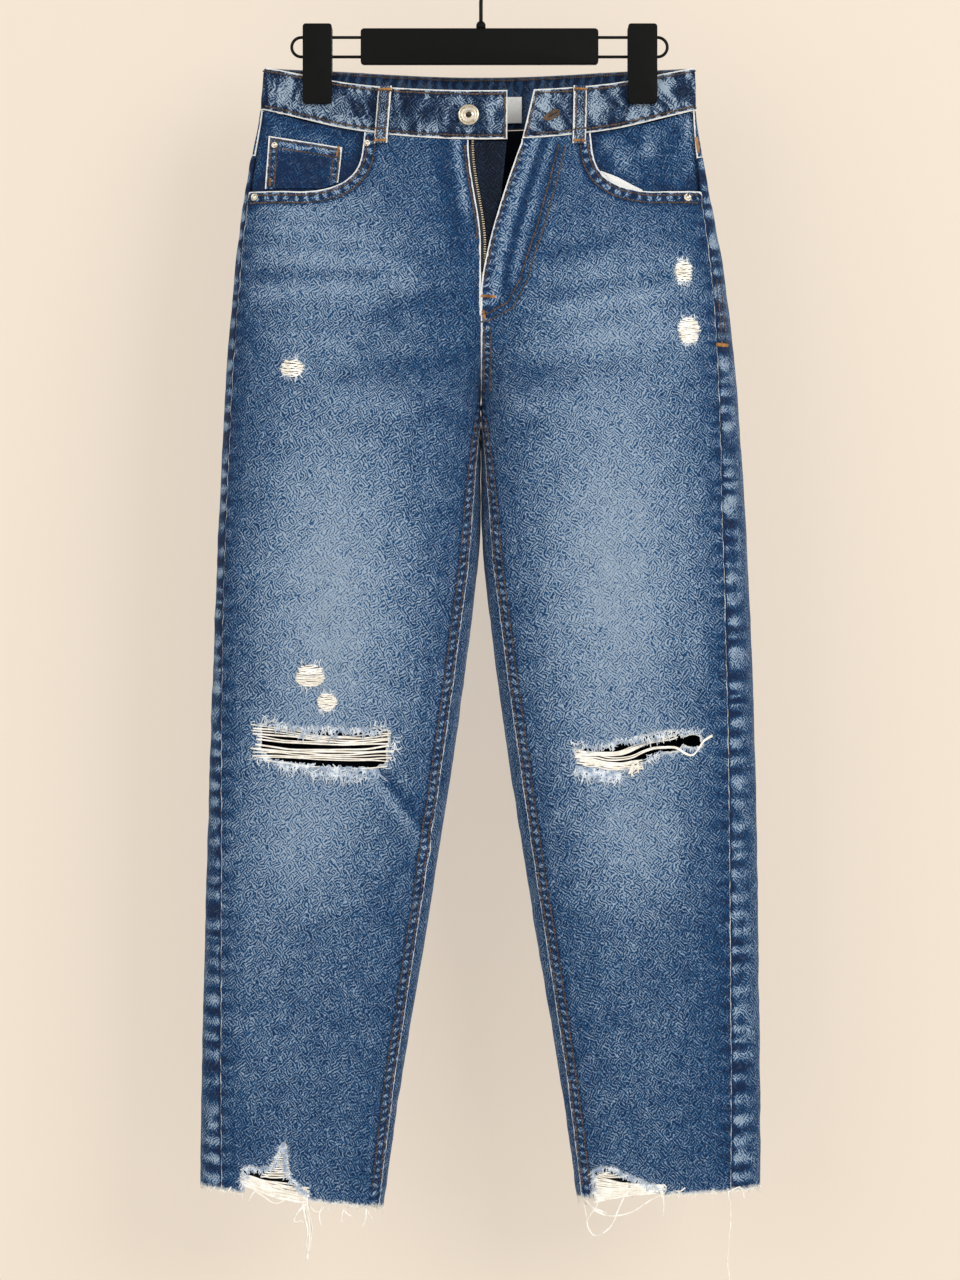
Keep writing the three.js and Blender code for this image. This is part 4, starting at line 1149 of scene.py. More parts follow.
for side, edge in (
    (RIGHT, lambda d: fly_edge(RIGHT, d) - TOOTH_REACH), (LEFT, lambda d: fly_edge(LEFT, d) + 5 - SEAM_GAP)
):
    depth = np.arange(front_band_bottom(20) + 1.5, FLY_FOOT, TOOTH_PITCH / 1.08)
    middle = edge(depth) + TOOTH_WIDE * 0.4
    angle = angle_at(side, middle, depth)
    normals = outward(side, angle, depth)
    points = moved(side, angle, depth, UNDER - TAPE / 2 + 0.35)
    along, across = framed(points, normals)
    towards = np.sign(across[:, :1] * -side)
    spread = (
        BLOCK[None, :, :1] * (across * towards * 1.9)[:, None]
        + BLOCK[None, :, 1:2] * (along * 0.9)[:, None]
        + BLOCK[None, :, 2:] * (normals * 1.5)[:, None]
    )
    corners = (points[:, None] + spread).reshape(-1, 3)
    faces = (BLOCK_FACES[None] + 8 * np.arange(len(points))[:, None, None]).reshape(-1, 4)
    if np.dot(np.cross(spread[0, 2] - spread[0, 0], spread[0, 3] - spread[0, 1]), spread[0, :4].mean(0)) < 0:
        faces = faces[:, ::-1]
    teeth = make_mesh(f"zip_tooth_row_{SIDE_NAME[side]}", corners, [faces], tooth_metal, sharp=30)
    declare(teeth, [f"zip_teeth_{SIDE_NAME[side]}"], "zip_metal")

# ---- Front pockets ----
# Each pocket's mouth is backed by a denim facing sewn into the waistband and side seam. The wearer's right
# facing carries the small coin pocket, and a sliver of white lining shows at the left pocket's curve.
FACING = 1.2
FACING_DEPTH = 124.0
TUCKED = 3.0
PAST_SEAM = 0.04
FACING_LEVEL = {RIGHT: UNDER - 0.7, LEFT: UNDER - 1.6}
for side in (RIGHT, LEFT):
    name = SIDE_NAME[side]
    start = POCKET_CORNER[side] - 8
    u, v = np.meshgrid(spaced(100, 2.2), np.linspace(0, 1, 32))
    x = lerp(start, outer_edge[side](lerp(50, FACING_DEPTH, v)), u)
    depth = lerp(front_band_bottom(x) - TUCKED, FACING_DEPTH, v)
    seam = out_seam_angle(side, depth) - PAST_SEAM
    angle = lerp(angle_at(side, start, depth), seam, u)
    points = form_point(side, angle, depth)
    x = np.abs(points[..., 0])
    s, t = run_lengths(points)
    mouth, _, _ = nearest(mouth_line(side), x, depth)
    under_band = depth - front_band_bottom(x)
    # Painted shade darkens each facing towards the pocket's mouth and just under the waistband; the wearer's
    # right one is darker all over.
    fields = {
        "fade": 0.2 * side - 0.45 + 0.6 * lumps(s, t, 12, 95 + side) - 1.4 * np.exp(-mouth / 8)
        - 0.5 * np.exp(-under_band / 6),
        "edge": np.full(s.shape, FAR), "torn": np.full(s.shape, FAR), "ladder": 0 * s, "run": t,
        "cloth": np.stack([s, -t, 0 * s + 260 * side], -1),
    }
    height = 0.3 * lumps(s, t, 18, 96)
    level = FACING_LEVEL[side]
    facing = shell(
        f"pocket_backing_{name}", moved(side, angle, depth, level + height),
        moved(side, angle, depth, level - FACING + 0.5 * height), fields, body_denim,
    )
    declare(facing, [f"pocket_facing_{name}"], "denim")


def coin_bottom(u):
    return 103.5 - 5 * np.maximum(0, 1 - 5 * u)


def coin_look(x, depth, s, t, border):
    sides = np.minimum(s, s[:, -1:] - s)
    body = smooth((sides - 8) / 2) * smooth((t - 10) / 2)
    # Painted shadow along both stitch rows of its sides.
    fade = 0.3 * lumps(s, t, 9, 97) - 1.3 * body - 1.2 * bell(sides - 3.2, 1.3) - 0.8 * bell(sides - 8, 1.5)
    ladder = np.maximum(smooth(8 - sides), smooth(10 - t)) * 0.8
    look = {"fade": fade, "edge": np.minimum(t, sides), "ladder": ladder}
    return 0.35 * smooth((9 - t) / 1.2) + 0.2 * lumps(s, t, 9, 98), look


coin = patch(
    "coin_pocket_cloth", RIGHT, True, (32, 24), lambda u, v: lerp(117 + 3 * v, 179 + 3 * v, u),
    lambda u, v: lerp(lerp(68, 58, u), coin_bottom(u), v),
    FACING_LEVEL[RIGHT] + CLEAR + 0.9, FACING_LEVEL[RIGHT] + CLEAR, body_denim, coin_look,
)
declare(coin, ["coin_pocket"], "denim")

cotton, principled = new_material("pocket_cotton")
shader = Shader(cotton.node_tree)
place = shader.node("ShaderNodeTexCoord").outputs["Object"]
shade = shader.mix(shader.noise(place, 400, 3.0), (0.62, 0.63, 0.64, 1), (0.84, 0.83, 0.8, 1))
shader.put(principled.inputs["Base Color"], shade)
principled.inputs["Roughness"].default_value = 0.9
shader.relief(principled, shader.noise(place, 1800, 2.0), 0.15)
dress("pocket_lining_left", cotton)

# ---- Back pockets ----
# Plain patches of the same denim on the seat, with a hemmed top and a blunt point. Two rows of stitches hold
# their sides, and a bar tack each top corner.


def pocket_outline(u, v):
    """x and depth of a point across (u) and down (v) a back pocket."""
    x = lerp(lerp(42, 50, v), lerp(166, 160, v), u)
    across = lerp(42, 166, u)
    point = 22 * (1 - np.abs(2 * u - 1))
    return x, lerp(yoke_seam(across) + 14, 226 + point - 10 * u, v)


def back_pocket_look(x, depth, s, t, border):
    fade = 0.35 + 0.25 * lumps(s, t, 22, 101) - 0.45 * bell(border - 5, 4)
    height = -0.5 * bell(border, 1.0) + 0.25 * lumps(s, t, 10, 102) + 0.3 * smooth((14 - t) / 1.5)
    return height, {"fade": fade, "edge": border, "ladder": smooth((9 - border) / 1.5) * 0.8}


for side in (RIGHT, LEFT):
    name = SIDE_NAME[side]
    pocket = patch(
        f"seat_pocket_{name}", side, False, (48, 54), lambda u, v: pocket_outline(u, v)[0],
        lambda u, v: pocket_outline(u, v)[1], CLEAR + DENIM, CLEAR, body_denim, back_pocket_look,
    )
    declare(pocket, [f"back_pocket_{name}"], "denim")

# ---- Belt loops ----
# Narrow straps of denim, folded and stitched along both edges, that stand over the waistband. They are bar
# tacked at the band's top edge and just below it.
LOOP_WIDE = 11.0
LOOP_THICK = 1.6
LOOP_BELOW = 9.0
LOOPS = {
    "front_right": (RIGHT, True, 79.5, 83.5),
    "front_left": (LEFT, True, 82.5, 81.5),
    "back_right": (RIGHT, False, 104, 106),
    "back_left": (LEFT, False, 104, 106),
    "back_centre": (LEFT, False, 0, 0),
}


def loop_span(front, top, bottom):
    """Depths of a loop's two ends."""
    high, low = (front_band_top, front_band_bottom) if front else (back_band_top, back_band_bottom)
    return high(top) - 0.5, low(bottom) + LOOP_BELOW


def loop_look(x, depth, s, t, border):
    ends = np.minimum(t, t[-1:] - t)
    height = 0.5 * bell(s - LOOP_WIDE / 2, 3) - 0.5 * bell(border, 0.9) - 0.9 * bell(ends - 2.5, 2.2)
    height += 0.25 * np.sin(2 * math.pi * t / 7) * smooth(ends / 8)
    fade = 0.1 + 0.5 * lumps(s + 40, t, 9, 103) - 0.3 * bell(ends, 5)
    return height, {"fade": fade, "edge": np.minimum(s, s[:, -1:] - s)}


for name, (side, front, top, bottom) in LOOPS.items():
    high, low = loop_span(front, top, bottom)
    loop = patch(
        f"loop_{name}", side, front, (11, 36), lambda u, v: lerp(top, bottom, v) + (u - 0.5) * LOOP_WIDE,
        lambda u, v: lerp(high, low, v), BAND_PROUD + CLEAR + LOOP_THICK, BAND_PROUD + CLEAR,
        waist_denim, loop_look,
    )
    declare(loop, [f"belt_loop_{name}"], "denim")

# ---- Button, rivets and label ----
# A stamped shank button with raised rings round a dark centre, small ringed rivets at the pocket corners, and
# a bare woven label inside the back of the waistband.


def lathe(name, profile, segments, foot, axis, material):
    """Turns a closed profile of (radius, height) pairs round an axis that stands on a foot."""
    turn = Vector((0, 0, 1)).rotation_difference(Vector(axis)).to_matrix()
    points = []
    for radius, height in profile:
        for k in range(segments if radius > 0 else 1):
            a = 2 * math.pi * k / segments
            at = turn @ Vector((radius * math.cos(a), radius * math.sin(a), height))
            points.append(np.array(at) + foot)
    starts = np.cumsum([0] + [segments if r > 0 else 1 for r, _ in profile])
    quads = []
    fans = []
    for j in range(len(profile) - 1):
        a, b = starts[j], starts[j + 1]
        for k in range(segments):
            n = (k + 1) % segments
            if profile[j][0] == 0:
                fans.append((a, b + n, b + k))
            elif profile[j + 1][0] == 0:
                fans.append((a + k, a + n, b))
            else:
                quads.append((a + k, a + n, b + n, b + k))
    faces = [np.array(group) for group in (quads, fans) if group]
    return make_mesh(name, np.array(points), faces, material, sharp=60)


def rounded(profile):
    """The same profile with its corners eased."""
    points = [profile[0]]
    for before, at, after in zip(profile[:-2], profile[1:-1], profile[2:]):
        for other in (before, after):
            away = math.hypot(other[0] - at[0], other[1] - at[1])
            share = min(0.35, 0.22 / max(away, 0.01))
            points.append((lerp(at[0], other[0], share), lerp(at[1], other[1], share)))
    return [*points, profile[-1]]


def standing(side, x, depth, lift):
    """A foot on the front of the form and the outward normal there."""
    depth = np.array([float(depth)])
    angle = angle_at(side, np.array([float(x)]), depth)
    return moved(side, angle, depth, lift)[0], outward(side, angle, depth)[0]


button_metal = aged_metal("button_metal", (0.86, 0.8, 0.68), (0.5, 0.44, 0.33), 0.28)
pit_metal = aged_metal("pit_metal", (0.09, 0.07, 0.05), (0.02, 0.018, 0.015), 0.5)
BUTTON_PROFILE = [
    (0, 0), (4.2, 0), (4.2, 1.4), (8.4, 1.4), (8.9, 2.0), (8.9, 2.7), (8.4, 3.5), (7.5, 3.75), (7.0, 2.5),
    (6.5, 2.5), (6.2, 3.4), (4.2, 3.2), (3.6, 3.2), (3.2, 3.6), (2.7, 3.6), (2.4, 2.7), (0, 2.6),
]
foot, axis = standing(RIGHT, 10, 45, BAND_PROUD + CLEAR)
button = lathe("shank_button", rounded(BUTTON_PROFILE), 56, foot, axis, button_metal)
declare(button, ["button"], "button_metal")
pit = lathe(
    "button_pit", [(0, 2.62), (2.3, 2.62), (2.3, 2.82), (0, 2.86)], 24, foot, axis, pit_metal
)
declare(pit, [], "button_metal")
RIVETS = {
    "right_outer": (RIGHT, 190, 111, 3.4, CLEAR),
    "right_inner": (RIGHT, 95.2, 66, 2.9, CLEAR),
    "coin_pocket": (RIGHT, 174, 66, 2.7, FACING_LEVEL[RIGHT] + 2 * CLEAR + 0.7),
    "left_outer": (LEFT, 173, 112, 3.4, CLEAR),
}
for name, (side, x, depth, radius, lift) in RIVETS.items():
    foot, axis = standing(side, x, depth, lift - 0.3)
    profile = [
        (0, 0), (radius, 0), (radius, 0.5), (radius * 0.86, 1.1), (radius * 0.62, 0.8), (radius * 0.5, 0.8),
        (radius * 0.42, 1.6), (0, 1.75),
    ]
    rivet = lathe(f"stud_{name}", rounded(profile), 32, foot, axis, button_metal)
    declare(rivet, [f"rivet_{name}"], "button_metal")
dress("label", cotton)

# ---- Threads ----
# Stitches are separate dashes of brown cotton thread, set on whatever cloth lies under them. Bar tacks are
# short dense zigzags of orange thread.
STITCH = 3.0
STITCH_PITCH = 3.5
THREAD_RADIUS = 0.78
cloth_points = []
cloth_faces = []
for piece in denim_pieces:
    start = len(cloth_points)
    cloth_points += [v.co / MM for v in piece.data.vertices]
    cloth_faces += [[start + i for i in p.vertices] for p in piece.data.polygons]
cloth_tree = BVHTree.FromPolygons(cloth_points, cloth_faces)


def landed(points, normals, above=9.0):
    """Where points fall on the cloth when they are dropped onto it from outside."""
    found = []
    for point, normal in zip(points, normals):
        n = Vector(normal)
        hit, facing, _, _ = cloth_tree.ray_cast(Vector(point) + n * above, -n, above + 9)
        found.append((hit, facing) if hit else (Vector(point), n))
    return np.array([h[:] for h, _ in found]), np.array([n[:] for _, n in found])


def laid(side, x, depth, front=True):
    """Where a row of points lies on the cloth, the way each faces, and the ways along and across the row."""
    angle = angle_at(side, x, depth, front)
    centres, facing = landed(form_point(side, angle, depth), outward(side, angle, depth))
    return centres, facing, *framed(centres, facing)


def thread_material(name, dark, light):
    material, principled = new_material(name)
    shader = Shader(material.node_tree)
    place = shader.node("ShaderNodeTexCoord").outputs["Object"]
    tone = shader.noise(place, 160, 3.0)
    colour = shader.mix(shader.ramp(tone, 0.3, 0.7), (*dark, 1), (*light, 1))
    shader.put(principled.inputs["Base Color"], colour)
    principled.inputs["Roughness"].default_value = 0.7
    principled.inputs["Sheen Weight"].default_value = 0.2
    return material


brown_thread = thread_material("brown_thread", (0.01, 0.007, 0.006), (0.12, 0.06, 0.025))
orange_thread = thread_material("orange_thread", (0.16, 0.065, 0.012), (0.5, 0.23, 0.04))

DASH_RINGS = [(-0.5, 0.45), (-0.32, 1.0), (0.32, 1.0), (0.5, 0.45)]
DASH_SIDES = 5


def dashes(name, centres, alongs, normals, lengths, radius, material):
    """Many short rounded threads as one mesh."""
    across = unit(np.cross(normals, alongs))
    raised = np.cross(alongs, across)
    rings = []
    for place, width in DASH_RINGS:
        for k in range(DASH_SIDES):
            a = 2 * math.pi * k / DASH_SIDES
            offset = (across * math.cos(a) + raised * math.sin(a)) * radius * width
            rings.append(centres + alongs * (place * lengths)[:, None] + offset)
    points = np.stack(rings, 1).reshape(-1, 3)
    per = len(DASH_RINGS) * DASH_SIDES
    quads = []
    for r in range(len(DASH_RINGS) - 1):
        for k in range(DASH_SIDES):
            n = (k + 1) % DASH_SIDES
            a, b = r * DASH_SIDES, (r + 1) * DASH_SIDES
            quads.append((a + k, a + n, b + n, b + k))
    first = tuple(range(DASH_SIDES))[::-1]
    last = tuple(range(per - DASH_SIDES, per))
    step = per * np.arange(len(centres))[:, None, None]
    walls = (np.array(quads)[None] + step).reshape(-1, 4)
    caps = (np.array([first, last])[None] + step).reshape(-1, DASH_SIDES)
    return make_mesh(name, points, [walls, caps], material, sharp=0)


stitch_sets = {}


def stitched(group, centres, alongs, facings, length):
    """Adds stitches of one length to a group."""
    lengths = np.full(len(centres), length)
    stitch_sets.setdefault(group, []).append((centres, alongs, facings, lengths))


def sew(group, side, line, front=True, pitch=STITCH_PITCH, length=STITCH):
    """Adds a row of stitches along a line of x and depth, on the front or back of one side."""
    line = densified(line, 0.8)
    angle = angle_at(side, line[:, 0], line[:, 1], front)
    sew_at(group, side, angle, line[:, 1], pitch, length)


def run_along(points):
    """How far each point is along its row."""
    return np.concatenate([[0], np.cumsum(np.linalg.norm(np.diff(points, axis=0), axis=1))])


def sew_at(group, side, angle, depth, pitch=STITCH_PITCH, length=STITCH):
    run = run_along(form_point(side, angle, depth))
    at = np.arange(pitch / 2, run[-1], pitch)
    angle = np.interp(at, run, angle)
    depth = np.interp(at, run, depth)
    normals = outward(side, angle, depth)
    centres, facing = landed(form_point(side, angle, depth), normals)
    if len(centres) < 2:
        return
    along, _ = framed(centres, facing)
    stitched(group, centres + facing * 0.1, along, facing, length)


def edge_row(side, edge_angle, towards, offset, depths):
    """Angles of a row that keeps an offset round the section from a panel's edge."""
    steps = np.linspace(0, 0.9, 60)
    angles = []
    for depth in depths:
        start = float(edge_angle(side, np.array([depth]))[0])
        trial = start + towards * steps
        run = run_along(form_point(side, trial, np.full(trial.shape, depth)))
        angles.append(np.interp(offset, run, trial))
    return np.array(angles)


def offset_line(line, distance):
    """A line moved sideways by a distance."""
    line = densified(line, 1.2)
    step = unit(np.gradient(line, axis=0))
    return line + np.stack([-step[:, 1], step[:, 0]], -1) * distance


band_span = {RIGHT: np.linspace(BAND_END_RIGHT + 2.6, 183.5, 90), LEFT: np.linspace(47, 179, 70)}
for side in (RIGHT, LEFT):
    # Waistband, front and back.
    xs = band_span[side]
    sew("waist_stitches", side, np.stack([xs, front_band_top(xs) + 3.2], -1))
    sew("waist_stitches", side, np.stack([xs - 1, front_band_bottom(xs) - 3.2], -1))
    xs = np.linspace(0.5, 183, 90)
    sew("waist_stitches", side, np.stack([xs, back_band_top(xs) + 2.7], -1), False)
    sew("waist_stitches", side, np.stack([xs, back_band_bottom(xs) - 2.7], -1), False)
    # The same top row shows on the waistband's inside.
    depth = back_band_top(xs) + 2.7
    angle = angle_at(side, xs, depth, False)
    centres = moved(side, angle, depth, BAND_PROUD - BAND_THICK - 0.1)
    along, _ = framed(centres, -outward(side, angle, depth))
    stitched("waist_stitches", centres, along, -outward(side, angle, depth), 1.6)
    # Pocket mouth.
    mouth = mouth_line(side)
    mouth = mouth[(mouth[:, 0] < 225) & (mouth[:, 1] > 58)]
    mouth = np.concatenate([mouth, [(outer_edge[side](106) - out_seam_inset[side](106) - 2, 106.4)]])
    for distance in (3.3, 9.6):
        row = offset_line(mouth, distance)
        sew("front_stitches", side, row[row[:, 1] > front_band_bottom(row[:, 0]) + 2])
    # Inseam, on the front.
    depths = np.linspace(CROTCH + 12, 940, 150)
    for distance in (3.1, 9.8):
        angle = edge_row(side, front_inner_angle, -1, distance, depths)
        sew_at("front_stitches", side, angle, depths, 3.0, 2.2)
    # Yoke seam.
    xs = np.linspace(2, 180, 90)
    for distance in (2.6, 8.4):
        sew("back_stitches", side, np.stack([xs, yoke_seam(xs) + distance], -1), False)
    # Back pocket.
    u = np.linspace(0, 1, 40)
    for inset in (2.4, 8.0):
        iu = inset / 120
        left_side = np.stack(pocket_outline(np.full(40, iu), np.linspace(0.01, 1 - iu, 40)), -1)
        bottom = np.stack(pocket_outline(np.linspace(iu, 1 - iu, 60), np.full(60, 1 - inset / 125)), -1)
        right_side = np.stack(pocket_outline(np.full(40, 1 - iu), np.linspace(1 - iu, 0.01, 40)), -1)
        sew("back_stitches", side, np.concatenate([left_side, bottom, right_side]), False)
    top = np.stack(pocket_outline(np.linspace(0.02, 0.98, 40), np.full(40, 0.1)), -1)
    sew("back_stitches", side, top, False)
sew("waist_stitches", RIGHT, [(BAND_END_RIGHT + 2.6, 26), (BAND_END_RIGHT + 2.6, 63)])
sew("waist_stitches", LEFT, [(46.5, 26), (37.5, 62)])
depths = np.linspace(70, 150, 40)
sew("front_stitches", RIGHT, np.stack([fly_edge(RIGHT, depths) + 3.2, depths], -1))
depths = np.linspace(72, 186, 50)
sew("front_stitches", LEFT, np.stack([fly_edge(LEFT, depths) + 3.0, depths], -1))
for distance in (0.0, 6.0):
    sew("front_stitches", LEFT, fly_stitch(distance))
for offset in (2.6, 8.2):
    sew("front_stitches", LEFT, [(offset, 222), (offset, 276)])
    sew("back_stitches", LEFT, [(offset, 124), (offset, 278)], False)
depths = np.linspace(180, 234, 30)
for offset in (-5.0, -11.0):
    sew_at("front_stitches", LEFT, edge_row(LEFT, out_seam_angle, -1, -offset, depths), depths)
for inset in (2.2, 7.0):
    sew("front_stitches", RIGHT, [(117 + inset, 72), (119 + inset, 97)])
    sew("front_stitches", RIGHT, [(179 - inset, 62), (181 - inset, 101)])
for drop in (2.4, 9.0):
    sew("front_stitches", RIGHT, [(119, 68 + drop), (177, 58.5 + drop)])
for name, (side, front, top, bottom) in LOOPS.items():
    high, low = loop_span(front, top, bottom)
    for offset in (-3.3, 3.3):
        sew("loop_stitches", side, [(top + offset, high + 5), (bottom + offset, low - 5)], front, 3.0, 2.2)


def bar_tack(side, x, depth, long, wide, turn=0.0, front=True):
    """A bar of tight thread across a stress point: turn is its angle from level, in degrees."""
    count = int(long / 0.62)
    run = np.linspace(-long / 2, long / 2, count)
    a = math.radians(turn)
    centres, facing, along, across = laid(side, x + run * math.cos(a), depth + run * math.sin(a), front)
    stitched("bar_tacks", centres + facing * 0.3, unit(across + along * 0.18), facing, wide)


for name, (side, front, top, bottom) in LOOPS.items():
    high, low = loop_span(front, top, bottom)
    bar_tack(side, top, high + 2.8, LOOP_WIDE - 1.5, 2.4, 0, front)
    bar_tack(side, bottom, low - 2.4, LOOP_WIDE - 1.5, 2.4, 0, front)
bar_tack(LEFT, 6, 197, 11, 2.4, 4)
bar_tack(LEFT, 2.5, 212, 7, 2.4, 80)
bar_tack(RIGHT, 120.5, 71.5, 8, 2.2, 80)
bar_tack(RIGHT, 177.5, 98, 6, 2.0, 85)
bar_tack(LEFT, 201.5, 236, 10, 3.2, 0)
bar_tack(LEFT, 182.5, 66, 13, 2.6, 82)
for side in (RIGHT, LEFT):
    for u in (0.03, 0.97):
        x, depth = pocket_outline(u, 0.03)
        bar_tack(side, float(x), float(depth) + 2, 8, 2.2, 85, False)

# The buttonhole: a slit edged with thread on the waistband's left end.
u = np.linspace(0, 2 * math.pi, 56, endpoint=False)
tilt = math.radians(-30)
for reach, high_half in ((6.8, 2.5), (6.0, 1.5)):
    ox = reach * np.cos(u)
    od = high_half * np.sin(u) * (1 + 0.35 * (np.cos(u) > 0.6))
    xs = BUTTONHOLE[0] + ox * math.cos(tilt) - od * math.sin(tilt)
    depths = BUTTONHOLE[1] + ox * math.sin(tilt) + od * math.cos(tilt)
    centres, facing, _, across = laid(LEFT, xs, depths)
    stitched("buttonhole_stitches", centres + facing * 0.25, across, facing, 1.7)

# Painted shade: a row of near-black dashes fills the slit, for the dark gap behind it.
run = np.linspace(-5.2, 5.2, 18)
centres, facing, _, across = laid(
    LEFT, BUTTONHOLE[0] + run * math.cos(tilt), BUTTONHOLE[1] + run * math.sin(tilt)
)
slit_shade = thread_material("slit_shade", (0.002, 0.003, 0.006), (0.008, 0.01, 0.018))
slit = dashes("buttonhole_slit", centres, across, facing, np.full(18, 1.8), 0.5, slit_shade)
declare(slit, [], "yarn")

for group, rows in stitch_sets.items():
    centres, alongs, facings, lengths = (np.concatenate(parts) for parts in zip(*rows))
    material = orange_thread if group == "bar_tacks" else brown_thread
    radius = 0.42 if group == "bar_tacks" else THREAD_RADIUS
    stitches = dashes(group, centres, alongs, facings, lengths, radius, material)
    declare(stitches, [], "yarn")

# ---- Torn threads ----
# Where the denim has torn, its blue warp is gone or curls up in short pale ends, and the cream weft is left
# bare: it spans the knees in loose bundles, fills the worn spots and hangs from the raw hems.
cream_yarn = thread_material("cream_yarn", (0.78, 0.73, 0.64), (0.96, 0.94, 0.9))
pale_yarn = thread_material("pale_yarn", (0.26, 0.36, 0.52), (0.78, 0.84, 0.9))
random = np.random.default_rng(7)


def threads(name, groups, material):
    """Round threads as one mesh: each group holds paths (thread, point, 3), radii and a number of sides."""
    points = []
    faces = []
    start = 0
    for paths, radii, sides in groups:
        paths = np.asarray(paths, float)
        count, steps, _ = paths.shape
        radii = np.broadcast_to(radii, (count, steps))
        along = np.gradient(paths, axis=1)
        along /= np.linalg.norm(along, axis=2, keepdims=True) + 1e-9
        across = np.cross(along, (0.11, 0.97, 0.2))
        across /= np.linalg.norm(across, axis=2, keepdims=True) + 1e-9
        raised = np.cross(along, across)
        turn = 2 * math.pi * np.arange(sides)[None, None, :, None] / sides
        ring = across[:, :, None] * np.cos(turn) + raised[:, :, None] * np.sin(turn)
        points.append((paths[:, :, None] + ring * radii[:, :, None, None]).reshape(-1, 3))
        k = np.arange(sides)
        n = (k + 1) % sides
        ring_at = sides * np.arange(steps - 1)[:, None]
        above = ring_at + sides
        quads = np.stack([ring_at + k, ring_at + n, above + n, above + k], -1).reshape(-1, 4)
        per = start + steps * sides * np.arange(count)[:, None, None]
        caps = np.array([k[::-1], sides * (steps - 1) + k])
        faces += [(quads[None] + per).reshape(-1, 4), (caps[None] + per).reshape(-1, sides)]
        start += count * steps * sides
    return make_mesh(name, np.concatenate(points), faces, material, sharp=0)


def over_front(side, x, depth, out):
    """Points over the front of the form, from arrays of x, depth and distance out of it."""
    shape = np.shape(x)
    angle = angle_at(side, np.ravel(x), np.ravel(depth))
    return moved(side, angle, np.ravel(depth), np.ravel(np.broadcast_to(out, shape))).reshape(*shape, 3)


def wander(count, steps, size, seed):
    """Soft sideways drift for each thread along its length."""
    run = np.broadcast_to(np.arange(steps) * 6.0 / steps, (count, steps))
    return size * lumps(run, np.arange(count)[:, None] * 3.7 + 0 * run, 1.0, seed)


def curls(side, x, depth, length, aim, seed, out=0.4, curl=1.6, steps=9):
    """Short curling ends rooted at x and depth: aim is 1 to hang down, -1 to stand up."""
    spin = np.random.default_rng(seed)
    count = len(x)
    t = np.linspace(0, 1, steps)[None]
    turn = spin.uniform(-0.9, 0.9, (count, 1))
    bend = spin.uniform(-curl, curl, (count, 1))
    heading = turn + bend * t
    step = (length / (steps - 1))[:, None]
    across = np.cumsum(np.sin(heading) * step, 1)
    down = np.cumsum(np.cos(heading) * step, 1) * np.reshape(aim, (-1, 1))
    lift = out + spin.uniform(0.1, 1.3, (count, 1)) * np.sin(math.pi * t)
    return over_front(side, x[:, None] + across, depth[:, None] + down, lift)


def smooth_path(points, steps):
    """A soft curve through points, with the given number of steps."""
    points = np.array(points, float)
    at = np.linspace(0, len(points) - 1, steps)
    i = np.minimum(at.astype(int), len(points) - 2)
    t = (at - i)[:, None]
    before = points[np.maximum(i - 1, 0)]
    a, b = points[i], points[i + 1]
    after = points[np.minimum(i + 2, len(points) - 1)]
    return 0.5 * (2 * a + (b - before) * t + (2 * before - 5 * a + 4 * b - after) * t**2
                  + (3 * a - before - 3 * b + after) * t**3)


def yarn_bundle(side, points, count, spread, seed, holes, steps=60):
    """A loose bundle of yarns through points of x and depth, on the cloth and sinking over its holes."""
    path = densified(smooth_path(points, steps), 1.0)
    had = np.linspace(0, 1, len(path))
    path = np.stack([np.interp(np.linspace(0, 1, steps), had, p) for p in path.T], -1)
    along = unit(np.gradient(path, axis=0))
    across = np.stack([-along[:, 1], along[:, 0]], -1)
    t = np.linspace(0, 1, steps)
    spin = np.random.default_rng(seed)
    place = (np.arange(count) - (count - 1) / 2)[:, None] / max(1, count - 1)
    place = place * np.where(across[0, 1] < 0, -1, 1)
    apart = place * lerp(spread[0], spread[1], np.sin(math.pi * t)) + wander(count, steps, 0.8, seed)
    shift = spin.uniform(-2.5, 2.5, (count, 1)) * (1 - 2 * t)
    x = path[:, 0] + apart * across[:, 0] + shift
    depth = path[:, 1] + apart * across[:, 1]
    over = np.zeros(x.shape)
    for outline in holes:
        over = np.maximum(over, inside(outline, x, depth) * 1.0)
    for _ in range(4):
        over[:, 1:-1] = (over[:, :-2] + over[:, 1:-1] + over[:, 2:]) / 3
    out = lerp(1.0, -0.8, over) + wander(count, steps, 0.3, seed + 1)
    return over_front(side, x, depth, out), spin.uniform(0.5, 0.8, (count, 1)), 6


# Bundles of yarn across each knee: their points, how many yarns, and their spread at the ends and the middle.
KNEE_BUNDLES = {
    RIGHT: [
        ([(190, 557.5), (161, 560.4), (133, 564.6), (105, 565.8), (77, 563.5)], 4, (6.6, 4.6)),
        ([(189, 564), (161, 567.8), (133, 569.0), (105, 568.8), (76, 568)], 2, (3.4, 1.6)),
        ([(190, 571.5), (161, 575.4), (133, 575.4), (105, 575.8), (75, 573.5)], 2, (4.0, 1.5)),
        ([(189, 578), (161, 579), (133, 580.6), (105, 581.2), (76, 580)], 4, (7.4, 4.8)),
        ([(180, 583.5), (161, 585.8), (133, 588.8), (105, 590.4), (80, 589)], 1, (0, 0)),
    ],
    LEFT: [
        ([(79, 577), (92, 578), (108, 578), (119, 577), (130, 572.5), (141, 568), (149, 566), (158, 564),
          (163, 561.5)], 4, (4.5, 2.6)),
        ([(80, 580), (97, 580.4), (104, 582), (113, 582.5), (126, 580.6), (135, 576.4), (144, 573.4),
          (153, 573), (162, 573.4), (169, 577.5), (175, 579), (180, 573.4), (184, 567), (191, 562.5)],
         2, (1.4, 1.3)),
        ([(80, 583), (94, 584.6), (106, 587), (117, 587.4), (126, 587), (134, 586)], 5, (6.0, 3.4)),
        ([(84, 586), (97, 588.4), (108, 590.4), (120, 590)], 2, (2.0, 1.4)),
    ],
}
